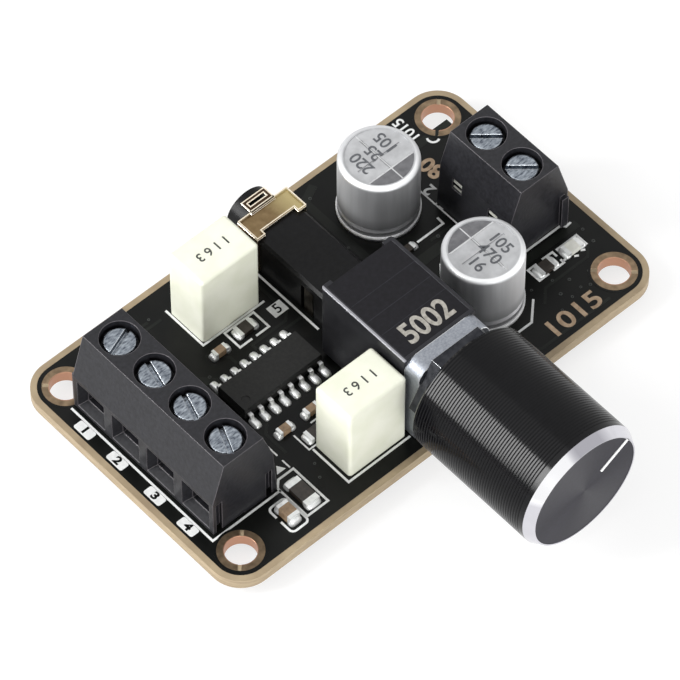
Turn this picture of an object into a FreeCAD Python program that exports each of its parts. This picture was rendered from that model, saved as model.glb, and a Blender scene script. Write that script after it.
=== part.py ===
import FreeCAD, Part
import math
import os
from types import SimpleNamespace

import Sketcher


# Stereo amplifier board with a volume knob, an audio socket and two screw terminal blocks.
# Frame: origin at the centre of the board's underside, +X along the board towards the power
# terminals, -Y towards the knob, +Z up through the components. Sizes are millimetres.


# Driving dimensions: alias, value, meaning.
DIMENSIONS = [
    ("board_length", 55.0, "board along X"),
    ("board_width", 32.0, "board along Y"),
    ("board_thickness", 1.2, "laminate thickness"),
    ("board_corner_radius", 3.4, "radius of the board's corners"),
    ("fixing_inset", 3.4, "board's edges to the centres of its fixing holes"),
    ("fixing_hole_radius", 1.6, "open radius of a fixing hole"),
    ("fixing_ring_radius", 2.45, "outer radius of the copper ring round a fixing hole"),
    ("plating_thickness", 0.05, "copper on the board and in its fixing holes"),
    ("ring_slit_width", 0.35, "slit that parts each copper ring on its diagonal"),
    ("lead_tail", 1.4, "length of each lead below the board"),
    ("lead_hole_clearance", 0.15, "radial room round a lead in its board hole"),
    ("solder_height", 0.8, "height of a solder cone below the board"),
    ("solder_skirt", 0.5, "solder round a lead at the board"),
    ("solder_tip", 0.1, "solder round a lead at the tip of its cone"),
    ("terminal_edge_gap", 2.6, "board end to the front of a terminal block"),
    ("terminal_pitch", 5.0, "pole to pole in a terminal block"),
    ("terminal_height", 10.0, "terminal block above the board"),
    ("terminal_front", 3.9, "screw axis to the block's front face"),
    ("terminal_rear", 4.1, "screw axis to the foot of the block's rear face"),
    ("terminal_top_half", 2.43, "screw axis to the front or rear edge of the block's top"),
    ("terminal_lip_height", 5.0, "height where the block's sloping face starts"),
    ("terminal_shoulder_height", 6.2, "height of the bend in the block's rear face"),
    ("terminal_shoulder_inset", 0.45, "foot of the rear face to its bend, along X"),
    ("terminal_relief", 0.2, "recess under the wire side of a terminal block"),
    ("speaker_poles_y", 0.35, "centre of the speaker terminals along Y"),
    ("power_poles_y", 0.0, "centre of the power terminals along Y"),
    ("wire_window_width", 3.9, "wire entry across"),
    ("wire_window_sill", 0.6, "foot of the wire entry above the board"),
    ("wire_window_head", 4.5, "head of the wire entry above the board"),
    ("wire_window_depth", 1.0, "depth of the framed recess of a wire entry"),
    ("wire_throat_inset", 0.4, "step from the window's edge to its throat"),
    ("chamber_play", 0.15, "clamp cage to the side walls of its chamber"),
    ("chamber_front", 2.2, "screw axis to the chamber's front wall"),
    ("chamber_rear", 2.75, "screw axis to the chamber's rear wall"),
    ("chamber_height", 7.8, "chamber ceiling above the board"),
    ("screw_web_thickness", 0.3, "web that the screw's head bears on"),
    ("screw_well_play", 0.34, "room round the screw's head in its well"),
    ("screw_head_radius", 1.66, "clamp screw head"),
    ("screw_head_height", 1.3, "clamp screw head"),
    ("screw_head_lift", 0.1, "play between the head and the web"),
    ("screw_head_bevel", 0.15, "bevel round the top of the head"),
    ("screw_thread_radius", 1.3, "clamp screw shank"),
    ("screw_point_bevel", 0.3, "bevel at the shank's end"),
    ("screw_slot_width", 0.5, "driver slot"),
    ("screw_slot_depth", 0.6, "driver slot"),
    ("thread_clearance", 0.05, "radial play of a screw in its cage and web"),
    ("cage_side_play", 0.1, "screw shank to the side walls of the cage"),
    ("cage_length", 3.4, "clamp cage along the wire"),
    ("cage_foot", 0.5, "underside of the lowered cage above the board"),
    ("cage_floor_thickness", 0.6, "cage floor, which lifts the wire"),
    ("cage_nut_thickness", 1.0, "threaded top of the cage"),
    ("cage_wall", 0.45, "side walls of the cage"),
    ("cage_fold_radius", 0.27, "outer rounding of the cage's folds"),
    ("contact_top", 4.8, "top of the fixed contact bar above the board"),
    ("contact_thickness", 0.7, "contact bar thickness"),
    ("contact_half_width", 1.0, "contact bar, half width"),
    ("contact_front", 1.9, "screw axis to the bar's front end"),
    ("contact_leg_thickness", 0.6, "leg behind the cage"),
    ("contact_rear_gap", 0.1, "leg to the chamber's rear wall"),
    ("contact_tail_width", 0.8, "solder tail of the contact"),
    ("cage_nut_gap", 0.2, "cage nut above the contact bar when lowered"),
    ("rear_slot_width", 1.3, "slot in the block's rear wall"),
    ("rear_slot_height", 1.5, "slot in the block's rear wall"),
    ("dovetail_depth", 0.6, "dovetail tongues and grooves at the block's ends"),
    ("dovetail_width", 0.7, "dovetail at its neck"),
    ("dovetail_flare", 0.2, "dovetail widening on each side"),
    ("dovetail_clearance", 0.1, "play of a tongue in a groove"),
    ("front_dovetail_height", 4.6, "dovetail by the wire side"),
    ("rear_dovetail_height", 3.8, "dovetail by the rear side"),
    ("front_dovetail_inset", 0.75, "front face to the middle of its dovetail"),
    ("rear_dovetail_inset", 1.05, "foot of the rear face to the middle of its dovetail"),
    ("chip_length", 9.9, "amplifier chip body along X"),
    ("chip_width", 3.9, "amplifier chip body along Y"),
    ("chip_standoff", 0.15, "gap under the chip body"),
    ("chip_body_height", 1.4, "chip body thickness"),
    ("chip_draft_angle", 7.0, "draft of the chip body's sides in degrees"),
    ("chip_pitch", 1.27, "lead to lead"),
    ("chip_lead_width", 0.42, "lead across"),
    ("chip_lead_thickness", 0.2, "lead thickness"),
    ("chip_lead_reach", 1.1, "lead from the body's side to its toe"),
    ("chip_foot_length", 0.6, "flat foot of a lead"),
    ("chip_knee_reach", 0.25, "straight root of a lead"),
    ("chip_gap", 0.65, "chip body to the potentiometer"),
    ("chip_centre_y", 0.1, "chip centre along Y"),
    ("chip_dimple_radius", 0.45, "dimple that marks the first lead"),
    ("chip_dimple_inset", 1.0, "chip body's sides to the middle of the dimple"),
    ("chip_dimple_depth", 0.08, "dimple that marks the first lead"),
    ("film_length", 7.2, "film capacitor along X"),
    ("film_width", 4.95, "film capacitor along Y"),
    ("film_height", 9.5, "film capacitor above the board"),
    ("film_edge_radius", 0.35, "rounding of the film capacitor's case"),
    ("film_gap", 0.3, "film capacitor to the potentiometer's frame"),
    ("film_rear_inset", 3.5, "board's rear edge to the rear film capacitor"),
    ("film_front_inset", 2.7, "board's front edge to the front film capacitor"),
    ("film_lead_pitch", 5.0, "film capacitor leads, centre to centre"),
    ("film_lead_radius", 0.3, "film capacitor lead"),
    ("film_foot_height", 0.4, "recess under the film capacitor's case"),
    ("film_foot_wall", 0.6, "wall left round that recess"),
    ("can_radius", 4.08, "electrolytic capacitor can"),
    ("can_height", 8.1, "top of the can above the board"),
    ("can_lift", 0.3, "lower rim of the can above the board"),
    ("can_wall", 0.3, "wall of the can beside its rubber bung"),
    ("can_edge_radius", 0.5, "rounded top rim of the can"),
    ("can_crimp_height", 1.45, "crimp above the board"),
    ("can_crimp_depth", 0.25, "crimp"),
    ("can_crimp_half", 0.3, "half height of the crimp"),
    ("can_face_recess", 0.08, "top face below the rim"),
    ("can_face_inset", 0.65, "rim round the top face"),
    ("score_length", 5.4, "pressure relief score in the can's top"),
    ("score_width", 0.25, "pressure relief score"),
    ("score_depth", 0.1, "pressure relief score"),
    ("bung_foot", 0.05, "rubber bung above the board"),
    ("bung_top", 2.1, "top of the rubber bung above the board"),
    ("can_lead_pitch", 3.5, "electrolytic capacitor leads, centre to centre"),
    ("can_lead_radius", 0.3, "electrolytic capacitor lead"),
    ("can_terminal_gap", 0.42, "electrolytic capacitors to the power terminal block"),
    ("can_rear_inset", 7.6, "board's rear edge to the rear electrolytic capacitor's axis"),
    ("can_front_inset", 9.6, "board's front edge to the front electrolytic capacitor's axis"),
    ("jack_centre_x", 1.6, "audio socket along X"),
    ("jack_half_width", 2.9, "audio socket body, half width"),
    ("jack_length", 12.0, "audio socket body along Y"),
    ("jack_height", 4.85, "audio socket body above the board"),
    ("jack_nose_radius", 2.5, "round nose of the socket"),
    ("jack_nose_length", 2.3, "nose beyond the body"),
    ("jack_pot_gap", 2.2, "potentiometer's frame to the socket's inner end"),
    ("jack_axis_height", 2.55, "plug axis above the board"),
    ("jack_bore_radius", 1.8, "plug bore"),
    ("jack_bore_depth", 13.7, "plug bore"),
    ("jack_edge_chamfer", 0.3, "bevel along the socket's top edges"),
    ("clip_thickness", 0.25, "gilt sleeve contact"),
    ("clip_width", 2.95, "sleeve contact along Y"),
    ("clip_notch_depth", 0.6, "notch in the sleeve contact's inner edge"),
    ("clip_ear_width", 0.8, "ears beside that notch"),
    ("clip_tab_width", 1.4, "solder tabs of the sleeve contact"),
    ("hoop_half_width", 1.5, "hoop of the sleeve contact over the nose"),
    ("hoop_length", 1.4, "hoop of the sleeve contact along Y"),
    ("hoop_strip", 0.5, "strip that the hoop is cut from"),
    ("spring_width", 1.2, "contact springs in the socket"),
    ("spring_thickness", 0.25, "contact springs in the socket"),
    ("spring_slot_height", 3.9, "slots for the contact springs"),
    ("spring_slot_play", 0.3, "slot beside a spring"),
    ("spring_slot_depth", 2.0, "slots from the socket's sides inwards"),
    ("spring_bow", 0.22, "bow of a contact spring"),
    ("spring_bore_gap", 0.05, "contact spring to the plug bore"),
    ("spring_end_drop", 0.7, "free end of a spring below the plug axis"),
    ("tip_spring_place", 1.6, "socket's inner end to the tip spring"),
    ("ring_spring_place", 4.6, "socket's inner end to the ring spring"),
    ("pot_centre_x", 1.0, "potentiometer and knob along X"),
    ("pot_face_overhang", 1.4, "board's front edge to the front plate's face"),
    ("pot_half_width", 4.5, "front plate and frame, half width"),
    ("pot_top", 11.0, "top of the front plate and bodies above the board"),
    ("pot_axis_height", 6.9, "shaft axis above the board"),
    ("plate_thickness", 2.0, "cast front plate"),
    ("plate_foot", 0.2, "front plate above the board"),
    ("plate_corner_radius", 1.4, "top corners of the front plate"),
    ("bushing_radius", 3.4, "threaded bushing"),
    ("bushing_length", 5.0, "threaded bushing"),
    ("frame_sheet", 0.4, "sheet of the frame behind the plate"),
    ("frame_foot", 0.8, "frame's side arms above the board"),
    ("frame_tab", 0.8, "tabs folded behind the bodies"),
    ("frame_lug_width", 1.8, "lugs soldered into the board"),
    ("frame_lug_place", 0.2, "front plate to the lugs"),
    ("frame_hole_clearance", 0.2, "room round the shaft in the frame"),
    ("frame_fold_radius", 0.36, "outer rounding of the frame's folded tabs"),
    ("front_track_depth", 3.3, "front track housing along the shaft"),
    ("rear_track_depth", 2.0, "rear track housing along the shaft"),
    ("switch_depth", 5.6, "switch housing along the shaft"),
    ("pot_body_foot", 0.4, "housings above the board"),
    ("rotor_radius", 3.3, "wiper rotors"),
    ("rotor_clearance", 0.3, "room round and behind a rotor"),
    ("rotor_step_gap", 0.2, "thick part of the shaft to the front rotor"),
    ("front_cavity_depth", 2.5, "cavity in the front track housing"),
    ("rear_cavity_depth", 1.6, "cavity in the rear track housing"),
    ("shaft_radius", 3.0, "control shaft"),
    ("shaft_reach", 13.9, "shaft's end in front of the plate"),
    ("shaft_bevel", 0.3, "bevel at the shaft's end"),
    ("shaft_step", 0.2, "thick part of the shaft behind the frame"),
    ("shaft_clearance", 0.05, "radial play of the shaft in its bushing"),
    ("spindle_radius", 1.4, "thin end of the shaft"),
    ("spindle_clearance", 0.06, "radial play of the thin end"),
    ("spindle_in_switch", 1.0, "thin end inside the switch housing"),
    ("pot_pin_pitch", 2.5, "potentiometer leads, centre to centre"),
    ("pot_pin_width", 0.8, "potentiometer lead across"),
    ("pot_pin_thickness", 0.3, "potentiometer lead thickness"),
    ("switch_pin_place", 3.92, "front of the switch housing to its leads"),
    ("nut_across_flats", 10.0, "nut on the bushing"),
    ("nut_thickness", 1.4, "nut on the bushing"),
    ("knob_gap", 0.3, "nut to the knob"),
    ("knob_radius", 6.98, "knob"),
    ("knob_length", 16.2, "knob"),
    ("knob_wall", 1.0, "knob shell"),
    ("knob_face_wall", 1.2, "front of the knob shell"),
    ("knob_ring_width", 0.55, "bright bevel round the knob's face, across"),
    ("knob_ring_depth", 1.0, "bright bevel round the knob's face, along the axis"),
    ("knob_rear_bevel", 0.25, "bevel at the knob's open end"),
    ("knob_mouth_depth", 4.5, "open end of the knob up to its core"),
    ("core_bore_spare", 0.2, "room beyond the shaft's end in the core"),
    ("pointer_angle", 58.6, "pointer, degrees clockwise from straight up"),
    ("pointer_start", 2.4, "knob axis to the pointer's inner end"),
    ("pointer_end", 6.35, "knob axis to the pointer's outer end"),
    ("pointer_width", 0.45, "pointer line"),
    ("pointer_depth", 0.15, "paint in the pointer's groove"),
    ("small_part_length", 1.6, "small chip capacitors and resistor"),
    ("small_part_width", 0.8, "small chip capacitors and resistor"),
    ("small_capacitor_height", 0.8, "small chip capacitors"),
    ("small_resistor_height", 0.45, "small chip resistor"),
    ("middle_part_length", 2.0, "middle chip parts"),
    ("middle_part_width", 1.25, "middle chip parts"),
    ("middle_capacitor_height", 1.1, "middle chip capacitor"),
    ("middle_resistor_height", 0.55, "middle chip resistors"),
    ("large_part_length", 3.2, "large chip resistor"),
    ("large_part_width", 1.6, "large chip resistor"),
    ("large_part_height", 0.6, "large chip resistor"),
    ("part_end_share", 0.2, "length of a metal end, as a share of the chip part"),
    ("rear_capacitor_offset", 7.15, "potentiometer to the rear chip capacitor along X"),
    ("rear_capacitor_gap", 1.95, "rear film capacitor to the rear chip capacitor along Y"),
    ("rear_resistor_offset", 3.5, "potentiometer to the rear chip resistor along X"),
    ("rear_resistor_gap", 1.45, "rear film capacitor to the rear chip resistor along Y"),
    ("front_pair_offset", 5.2, "potentiometer to the nearer of two chip capacitors along X"),
    ("front_pair_pitch", 3.4, "those two chip capacitors, centre to centre"),
    ("front_pair_gap", 3.05, "front film capacitor to those two along Y"),
    ("front_resistor_offset", 6.6, "potentiometer to the front chip resistor along X"),
    ("front_resistor_gap", 0.92, "front film capacitor to the front chip resistor along Y"),
    ("corner_capacitor_end_inset", 9.3, "board's end to the corner chip capacitor"),
    ("corner_capacitor_edge_inset", 3.4, "board's front edge to the corner chip capacitor"),
    ("corner_resistor_end_inset", 11.9, "board's end to the large chip resistor"),
    ("corner_resistor_edge_inset", 4.3, "board's front edge to the large chip resistor"),
    ("lamp_end_inset", 4.6, "board's end to the lamp"),
    ("lamp_gap", 2.9, "power terminal block's end to the lamp along Y"),
    ("lamp_resistor_pitch", 3.5, "lamp to its chip resistor, centre to centre"),
    ("can_resistor_offset", 5.4, "potentiometer to the chip resistor by the cans along X"),
    ("can_resistor_gap", 5.8, "rear can's axis to the chip resistor by the cans along Y"),
]


class Size:
    """A length that knows its number and the sheet expression that gives it."""

    def __init__(self, value, text):
        self.value = float(value)
        self.text = text

    def __add__(self, other):
        other = size(other)
        return Size(self.value + other.value, f"({self.text} + {other.text})")

    def __radd__(self, other):
        return size(other) + self

    def __sub__(self, other):
        other = size(other)
        return Size(self.value - other.value, f"({self.text} - {other.text})")

    def __rsub__(self, other):
        return size(other) - self

    def __mul__(self, other):
        other = size(other)
        return Size(self.value * other.value, f"({self.text} * {other.text})")

    def __rmul__(self, other):
        return size(other) * self

    def __truediv__(self, other):
        other = size(other)
        return Size(self.value / other.value, f"({self.text} / {other.text})")

    def __neg__(self):
        return Size(-self.value, f"(0 - {self.text})")


def size(number):
    """Wrap a plain number, and leave a size as it is."""
    if isinstance(number, Size):
        return number
    if number < 0:
        return Size(number, f"(0 - {-number})")
    return Size(number, str(number))


def cosine(angle):
    return Size(math.cos(math.radians(angle.value)), f"cos({angle.text} * 1 deg)")


def sine(angle):
    return Size(math.sin(math.radians(angle.value)), f"sin({angle.text} * 1 deg)")


def diagonal(u, v):
    return Size(math.hypot(u.value, v.value), f"sqrt({u.text}^2 + {v.text}^2)")


doc = FreeCAD.newDocument("amplifier_board")


def fill_sheet():
    """Write the driving dimensions to the sheet and return them as sizes."""
    sheet = doc.addObject("Spreadsheet::Sheet", "dims")
    sizes = {}
    for row, (alias, value, meaning) in enumerate(DIMENSIONS, start=1):
        sheet.set(f"A{row}", meaning)
        sheet.set(f"B{row}", str(value))
        sheet.setAlias(f"B{row}", alias)
        sizes[alias] = Size(value, f"dims.{alias}")
    doc.recompute()
    return SimpleNamespace(**sizes)


d = fill_sheet()

# Nodes written to parts/, by name, and the leads that the board is drilled and soldered for.
NODES = {}
LEADS = []

ORIGIN = size(0)
PLANE_NORMAL = {"XY": "+Z", "XZ": "-Y", "YZ": "+X"}
Z_AXIS = FreeCAD.Vector(0, 0, 1)
X_AXIS = FreeCAD.Vector(1, 0, 0)


def new_body(label, several=False):
    """Start a sub-part. With several, it may hold separate solids."""
    body = doc.addObject("PartDesign::Body", label)
    body.Label = label
    body.AllowCompound = several
    NODES[label] = body
    return body


def place(thing, x=ORIGIN, y=ORIGIN, z=ORIGIN, axis=Z_AXIS, turn=0.0):
    """Stand a sub-part at a point, turned about one axis."""
    thing.Placement = FreeCAD.Placement(
        FreeCAD.Vector(x.value, y.value, z.value), FreeCAD.Rotation(axis, turn)
    )
    thing.setExpression("Placement.Base.x", x.text)
    thing.setExpression("Placement.Base.y", y.text)
    thing.setExpression("Placement.Base.z", z.text)


def bind(thing, **sizes):
    """Tie a primitive's sizes to the sheet."""
    for name, value in sizes.items():
        thing.setExpression(name, size(value).text)


def origin_feature(body, role):
    return [part for part in body.Origin.OriginFeatures if part.Role == role][0]


def new_sketch(body, plane, at=ORIGIN):
    """Sketch on a plane of the body, moved to a coordinate on that plane's own axis."""
    sketch = body.newObject("Sketcher::SketchObject", f"{body.Name}_sketch")
    sketch.AttachmentSupport = (origin_feature(body, f"{plane}_Plane"), [""])
    sketch.MapMode = "FlatFace"
    offset = -at if plane == "XZ" else at
    sketch.setExpression("AttachmentOffset.Base.z", offset.text)
    return sketch


def fix_distance(sketch, kind, geometry, point, distance):
    distance = size(distance)
    index = sketch.addConstraint(
        Sketcher.Constraint(kind, -1, 1, geometry, point, distance.value)
    )
    sketch.setExpression(f"Constraints[{index}]", distance.text)


def add_outline(sketch, corners):
    """Closed outline with each corner fixed to the sheet."""
    first = sketch.GeometryCount
    count = len(corners)
    points = [FreeCAD.Vector(size(u).value, size(v).value, 0) for u, v in corners]
    for index in range(count):
        line = Part.LineSegment(points[index], points[(index + 1) % count])
        sketch.addGeometry(line, False)
    for index in range(count):
        following = first + (index + 1) % count
        sketch.addConstraint(Sketcher.Constraint("Coincident", first + index, 2, following, 1))
    for index, (u, v) in enumerate(corners):
        fix_distance(sketch, "DistanceX", first + index, 1, u)
        fix_distance(sketch, "DistanceY", first + index, 1, v)


def add_rectangle(sketch, low_u, high_u, low_v, high_v):
    add_outline(sketch, [(low_u, low_v), (high_u, low_v), (high_u, high_v), (low_u, high_v)])


def add_circle(sketch, u, v, radius):
    u, v, radius = size(u), size(v), size(radius)
    centre = FreeCAD.Vector(u.value, v.value, 0)
    index = sketch.addGeometry(Part.Circle(centre, Z_AXIS, radius.value), False)
    fix_distance(sketch, "DistanceX", index, 3, u)
    fix_distance(sketch, "DistanceY", index, 3, v)
    constraint = sketch.addConstraint(Sketcher.Constraint("Radius", index, radius.value))
    sketch.setExpression(f"Constraints[{constraint}]", radius.text)


def sketch_plane(sketch):
    return sketch.AttachmentSupport[0][0].Role[:2]


def pad(body, sketch, depth, towards, taper=None):
    """Raise the sketch by depth towards an axis direction."""
    feature = body.newObject("PartDesign::Pad", f"{body.Name}_pad")
    feature.Profile = sketch
    feature.setExpression("Length", size(depth).text)
    feature.Reversed = PLANE_NORMAL[sketch_plane(sketch)] != towards
    if taper is not None:
        feature.setExpression("TaperAngle", size(taper).text)
    return feature


def pocket(body, sketch, depth, towards, taper=None):
    """Cut the sketch to a depth towards an axis direction."""
    feature = body.newObject("PartDesign::Pocket", f"{body.Name}_pocket")
    feature.Profile = sketch
    feature.setExpression("Length", size(depth).text)
    feature.Reversed = PLANE_NORMAL[sketch_plane(sketch)] == towards
    if taper is not None:
        feature.setExpression("TaperAngle", size(taper).text)
    return feature


def revolve(body, sketch):
    """Turn a sketch of the XZ plane about the body's Z axis."""
    feature = body.newObject("PartDesign::Revolution", f"{body.Name}_turned")
    feature.Profile = sketch
    feature.ReferenceAxis = (sketch, ["V_Axis"])
    feature.Angle = 360
    return feature


def repeat(body, features, axis_role, step, count):
    """Copy features along one of the body's axes."""
    pattern = body.newObject("PartDesign::LinearPattern", f"{body.Name}_row")
    pattern.Originals = features
    pattern.Direction = (origin_feature(body, axis_role), [""])
    pattern.setExpression("Length", (step * (count - 1)).text)
    pattern.Occurrences = count
    body.Tip = pattern
    return pattern


def dress_edges(body, kind, amount, wanted):
    """Round or bevel the edges of the body that the test picks."""
    doc.recompute()
    base = body.Tip
    names = [
        f"Edge{number}" for number, edge in enumerate(base.Shape.Edges, start=1) if wanted(edge)
    ]
    feature = body.newObject(f"PartDesign::{kind}", f"{body.Name}_{kind.lower()}")
    feature.Base = (base, names)
    property_name = "Radius" if kind == "Fillet" else "Size"
    feature.setExpression(property_name, size(amount).text)
    return feature


def runs_along(edge, axis):
    """True for a straight edge along one axis, which is 0, 1 or 2."""
    if edge.Curve.TypeId != "Part::GeomLine":
        return False
    span = edge.Vertexes[1].Point - edge.Vertexes[0].Point
    return abs(abs(span[axis]) - span.Length) < 1e-6


def drill_for_wire(x, y, radius):
    """Ask the board for a soldered hole round a wire."""
    LEADS.append((x, y, radius, None))


def drill_for_strip(x, y, half_x, half_y):
    """Ask the board for a soldered hole round a flat lead."""
    LEADS.append((x, y, half_x, half_y))


def lead_reach(half_x, half_y):
    """Radius of a circle that holds the lead's section, corners included."""
    if half_y is None:
        return half_x
    return diagonal(half_x, half_y)


# Places that the components share, worked out from the board's edges inwards.
board_top = d.board_thickness
board_end = d.board_length / 2
board_edge = d.board_width / 2
terminal_axis = board_end - d.terminal_edge_gap - d.terminal_front
pot_left = d.pot_centre_x - d.pot_half_width
pot_right = d.pot_centre_x + d.pot_half_width
pot_face_y = d.pot_face_overhang - board_edge
pot_depth = (d.plate_thickness + d.frame_sheet + d.front_track_depth + d.rear_track_depth
             + d.switch_depth + d.frame_sheet)
chip_x = pot_left - d.chip_gap - d.chip_length / 2
film_x = pot_left - d.film_gap - d.film_length / 2
film_rear_y = board_edge - d.film_rear_inset - d.film_width / 2
film_front_y = d.film_front_inset + d.film_width / 2 - board_edge
can_x = terminal_axis - d.terminal_rear - d.can_terminal_gap - d.can_radius
can_rear_y = board_edge - d.can_rear_inset
can_front_y = d.can_front_inset - board_edge
jack_outer_y = pot_face_y + pot_depth + d.jack_pot_gap + d.jack_length


# Circuit board: black-masked laminate with rounded corners, fixing holes and lead holes.
# The copper rings line the fixing holes, and the solder cones close round every lead below.

def fixing_points():
    half_x = board_end - d.fixing_inset
    half_y = board_edge - d.fixing_inset
    return [(half_x * side, half_y * end, side * end) for side in (-1, 1) for end in (-1, 1)]


def make_board():
    body = new_body("circuit_board")
    outline = new_sketch(body, "XY")
    add_rectangle(outline, -board_end, board_end, -board_edge, board_edge)
    pad(body, outline, d.board_thickness, "+Z")
    dress_edges(body, "Fillet", d.board_corner_radius, lambda edge: runs_along(edge, 2))
    holes = new_sketch(body, "XY", board_top)
    for x, y, _ in fixing_points():
        add_circle(holes, x, y, d.fixing_hole_radius + d.plating_thickness)
    for x, y, half_x, half_y in LEADS:
        add_circle(holes, x, y, lead_reach(half_x, half_y) + d.lead_hole_clearance)
    pocket(body, holes, d.board_thickness, "-Z")


def make_fixing_rings():
    body = new_body("fixing_hole_rings", several=True)
    rings = new_sketch(body, "XY", -d.plating_thickness)
    laminate = new_sketch(body, "XY")
    slits = new_sketch(body, "XY", board_top)
    half_slit = d.ring_slit_width / 2 * math.sqrt(0.5)
    reach = d.fixing_ring_radius
    for x, y, lean in fixing_points():
        add_circle(rings, x, y, d.fixing_ring_radius)
        add_circle(rings, x, y, d.fixing_hole_radius)
        add_circle(laminate, x, y, d.fixing_ring_radius + d.plating_thickness)
        add_circle(laminate, x, y, d.fixing_hole_radius + d.plating_thickness)
        low_u, low_v = x - reach * lean, y - reach
        high_u, high_v = x + reach * lean, y + reach
        shift = half_slit * lean
        add_outline(
            slits,
            [
                (low_u - shift, low_v + half_slit),
                (low_u + shift, low_v - half_slit),
                (high_u + shift, high_v - half_slit),
                (high_u - shift, high_v + half_slit),
            ],
        )
    pad(body, rings, d.board_thickness + d.plating_thickness * 2, "+Z")
    pocket(body, laminate, d.board_thickness, "+Z")
    pocket(body, slits, d.plating_thickness, "+Z")


def make_solder():
    cones = []
    bores = []
    for number, (x, y, half_x, half_y) in enumerate(LEADS, start=1):
        reach = lead_reach(half_x, half_y)
        cone = doc.addObject("Part::Cone", f"solder_cone_{number}")
        bind(cone, Radius1=reach + d.solder_tip, Radius2=reach + d.solder_skirt,
             Height=d.solder_height)
        place(cone, x, y, -d.solder_height)
        cones.append(cone)
        if half_y is None:
            bore = doc.addObject("Part::Cylinder", f"solder_bore_{number}")
            bind(bore, Radius=half_x, Height=d.solder_height)
            place(bore, x, y, -d.solder_height)
        else:
            bore = doc.addObject("Part::Box", f"solder_bore_{number}")
            bind(bore, Length=half_x * 2, Width=half_y * 2, Height=d.solder_height)
            place(bore, x - half_x, y - half_y, -d.solder_height)
        bores.append(bore)
    joints = doc.addObject("Part::Cut", "solder_joints")
    joints.Label = "solder_joints"
    joints.Base = doc.addObject("Part::Compound", "solder_cones")
    joints.Base.Links = cones
    joints.Tool = doc.addObject("Part::Compound", "solder_bores")
    joints.Tool.Links = bores
    NODES["solder_joints"] = joints


# Screw terminal block: moulded housing with a wire window, a clamp chamber and a screw well
# for each pole. Its own frame has the screw axes on x = 0, the wire side towards -x, and the
# board's top at z = 0, so the power block is the same block turned round.

WINDOW_TAPER = -20.0
cage_half_width = d.screw_thread_radius + d.cage_side_play + d.cage_wall
chamber_half_width = cage_half_width + d.chamber_play
screw_well_radius = d.screw_head_radius + d.screw_well_play


def pole_offsets(count):
    return [d.terminal_pitch * (index - (count - 1) / 2) for index in range(count)]


def dovetail(sketch, x, end_y, depth, half_neck, flare):
    add_outline(
        sketch,
        [
            (x - half_neck, end_y),
            (x + half_neck, end_y),
            (x + half_neck + flare, end_y + depth),
            (x - half_neck - flare, end_y + depth),
        ],
    )


def make_terminal_housing(label, count):
    body = new_body(label)
    half_length = d.terminal_pitch * count / 2
    rear_bend = d.terminal_rear - d.terminal_shoulder_inset
    profile = new_sketch(body, "XZ", -half_length)
    add_outline(
        profile,
        [
            (-d.terminal_front, ORIGIN),
            (-d.terminal_front, d.terminal_lip_height),
            (-d.terminal_top_half, d.terminal_height),
            (d.terminal_top_half, d.terminal_height),
            (rear_bend, d.terminal_shoulder_height),
            (d.terminal_rear, ORIGIN),
        ],
    )
    pad(body, profile, d.terminal_pitch * count, "+Y")

    tongue_x = (
        (-d.terminal_front + d.front_dovetail_inset, d.front_dovetail_height),
        (d.terminal_rear - d.rear_dovetail_inset, d.rear_dovetail_height),
    )
    half_neck = d.dovetail_width / 2
    for x, height in tongue_x:
        tongue = new_sketch(body, "XY")
        dovetail(tongue, x, half_length, d.dovetail_depth - d.dovetail_clearance,
                 half_neck - d.dovetail_clearance, d.dovetail_flare)
        pad(body, tongue, height, "+Z")
        groove = new_sketch(body, "XY")
        dovetail(groove, x, -half_length, d.dovetail_depth, half_neck, d.dovetail_flare)
        pocket(body, groove, height, "+Z")

    wells = new_sketch(body, "XY", d.terminal_height)
    webs = new_sketch(body, "XY", d.terminal_height)
    chambers = new_sketch(body, "XY")
    windows = new_sketch(body, "YZ", -d.terminal_front)
    throats = new_sketch(body, "YZ", -d.terminal_front)
    slots = new_sketch(body, "YZ", d.terminal_rear)
    half_window = d.wire_window_width / 2
    half_throat = half_window - d.wire_throat_inset
    half_slot = d.rear_slot_width / 2
    slot_foot = d.contact_top - d.rear_slot_height / 2
    for y in pole_offsets(count):
        add_circle(wells, ORIGIN, y, screw_well_radius)
        add_circle(webs, ORIGIN, y, d.screw_thread_radius + d.thread_clearance)
        add_rectangle(chambers, -d.chamber_front, d.chamber_rear,
                      y - chamber_half_width, y + chamber_half_width)
        add_rectangle(windows, y - half_window, y + half_window,
                      d.wire_window_sill, d.wire_window_head)
        add_rectangle(throats, y - half_throat, y + half_throat,
                      d.wire_window_sill + d.wire_throat_inset,
                      d.wire_window_head - d.wire_throat_inset)
        add_rectangle(slots, y - half_slot, y + half_slot,
                      slot_foot, slot_foot + d.rear_slot_height)
    web_top = d.chamber_height + d.screw_web_thickness
    pocket(body, wells, d.terminal_height - web_top, "-Z")
    pocket(body, webs, d.terminal_height - d.chamber_height, "-Z")
    pocket(body, chambers, d.chamber_height, "+Z")
    pocket(body, windows, d.wire_window_depth, "+X", WINDOW_TAPER)
    pocket(body, throats, d.terminal_front - d.chamber_front, "+X")
    pocket(body, slots, d.terminal_rear - d.chamber_rear, "-X")
    relief = new_sketch(body, "XY")
    reach = half_length + d.dovetail_depth
    add_rectangle(relief, -d.terminal_front, ORIGIN, -reach, reach)
    pocket(body, relief, d.terminal_relief, "+Z")
    return body


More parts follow.
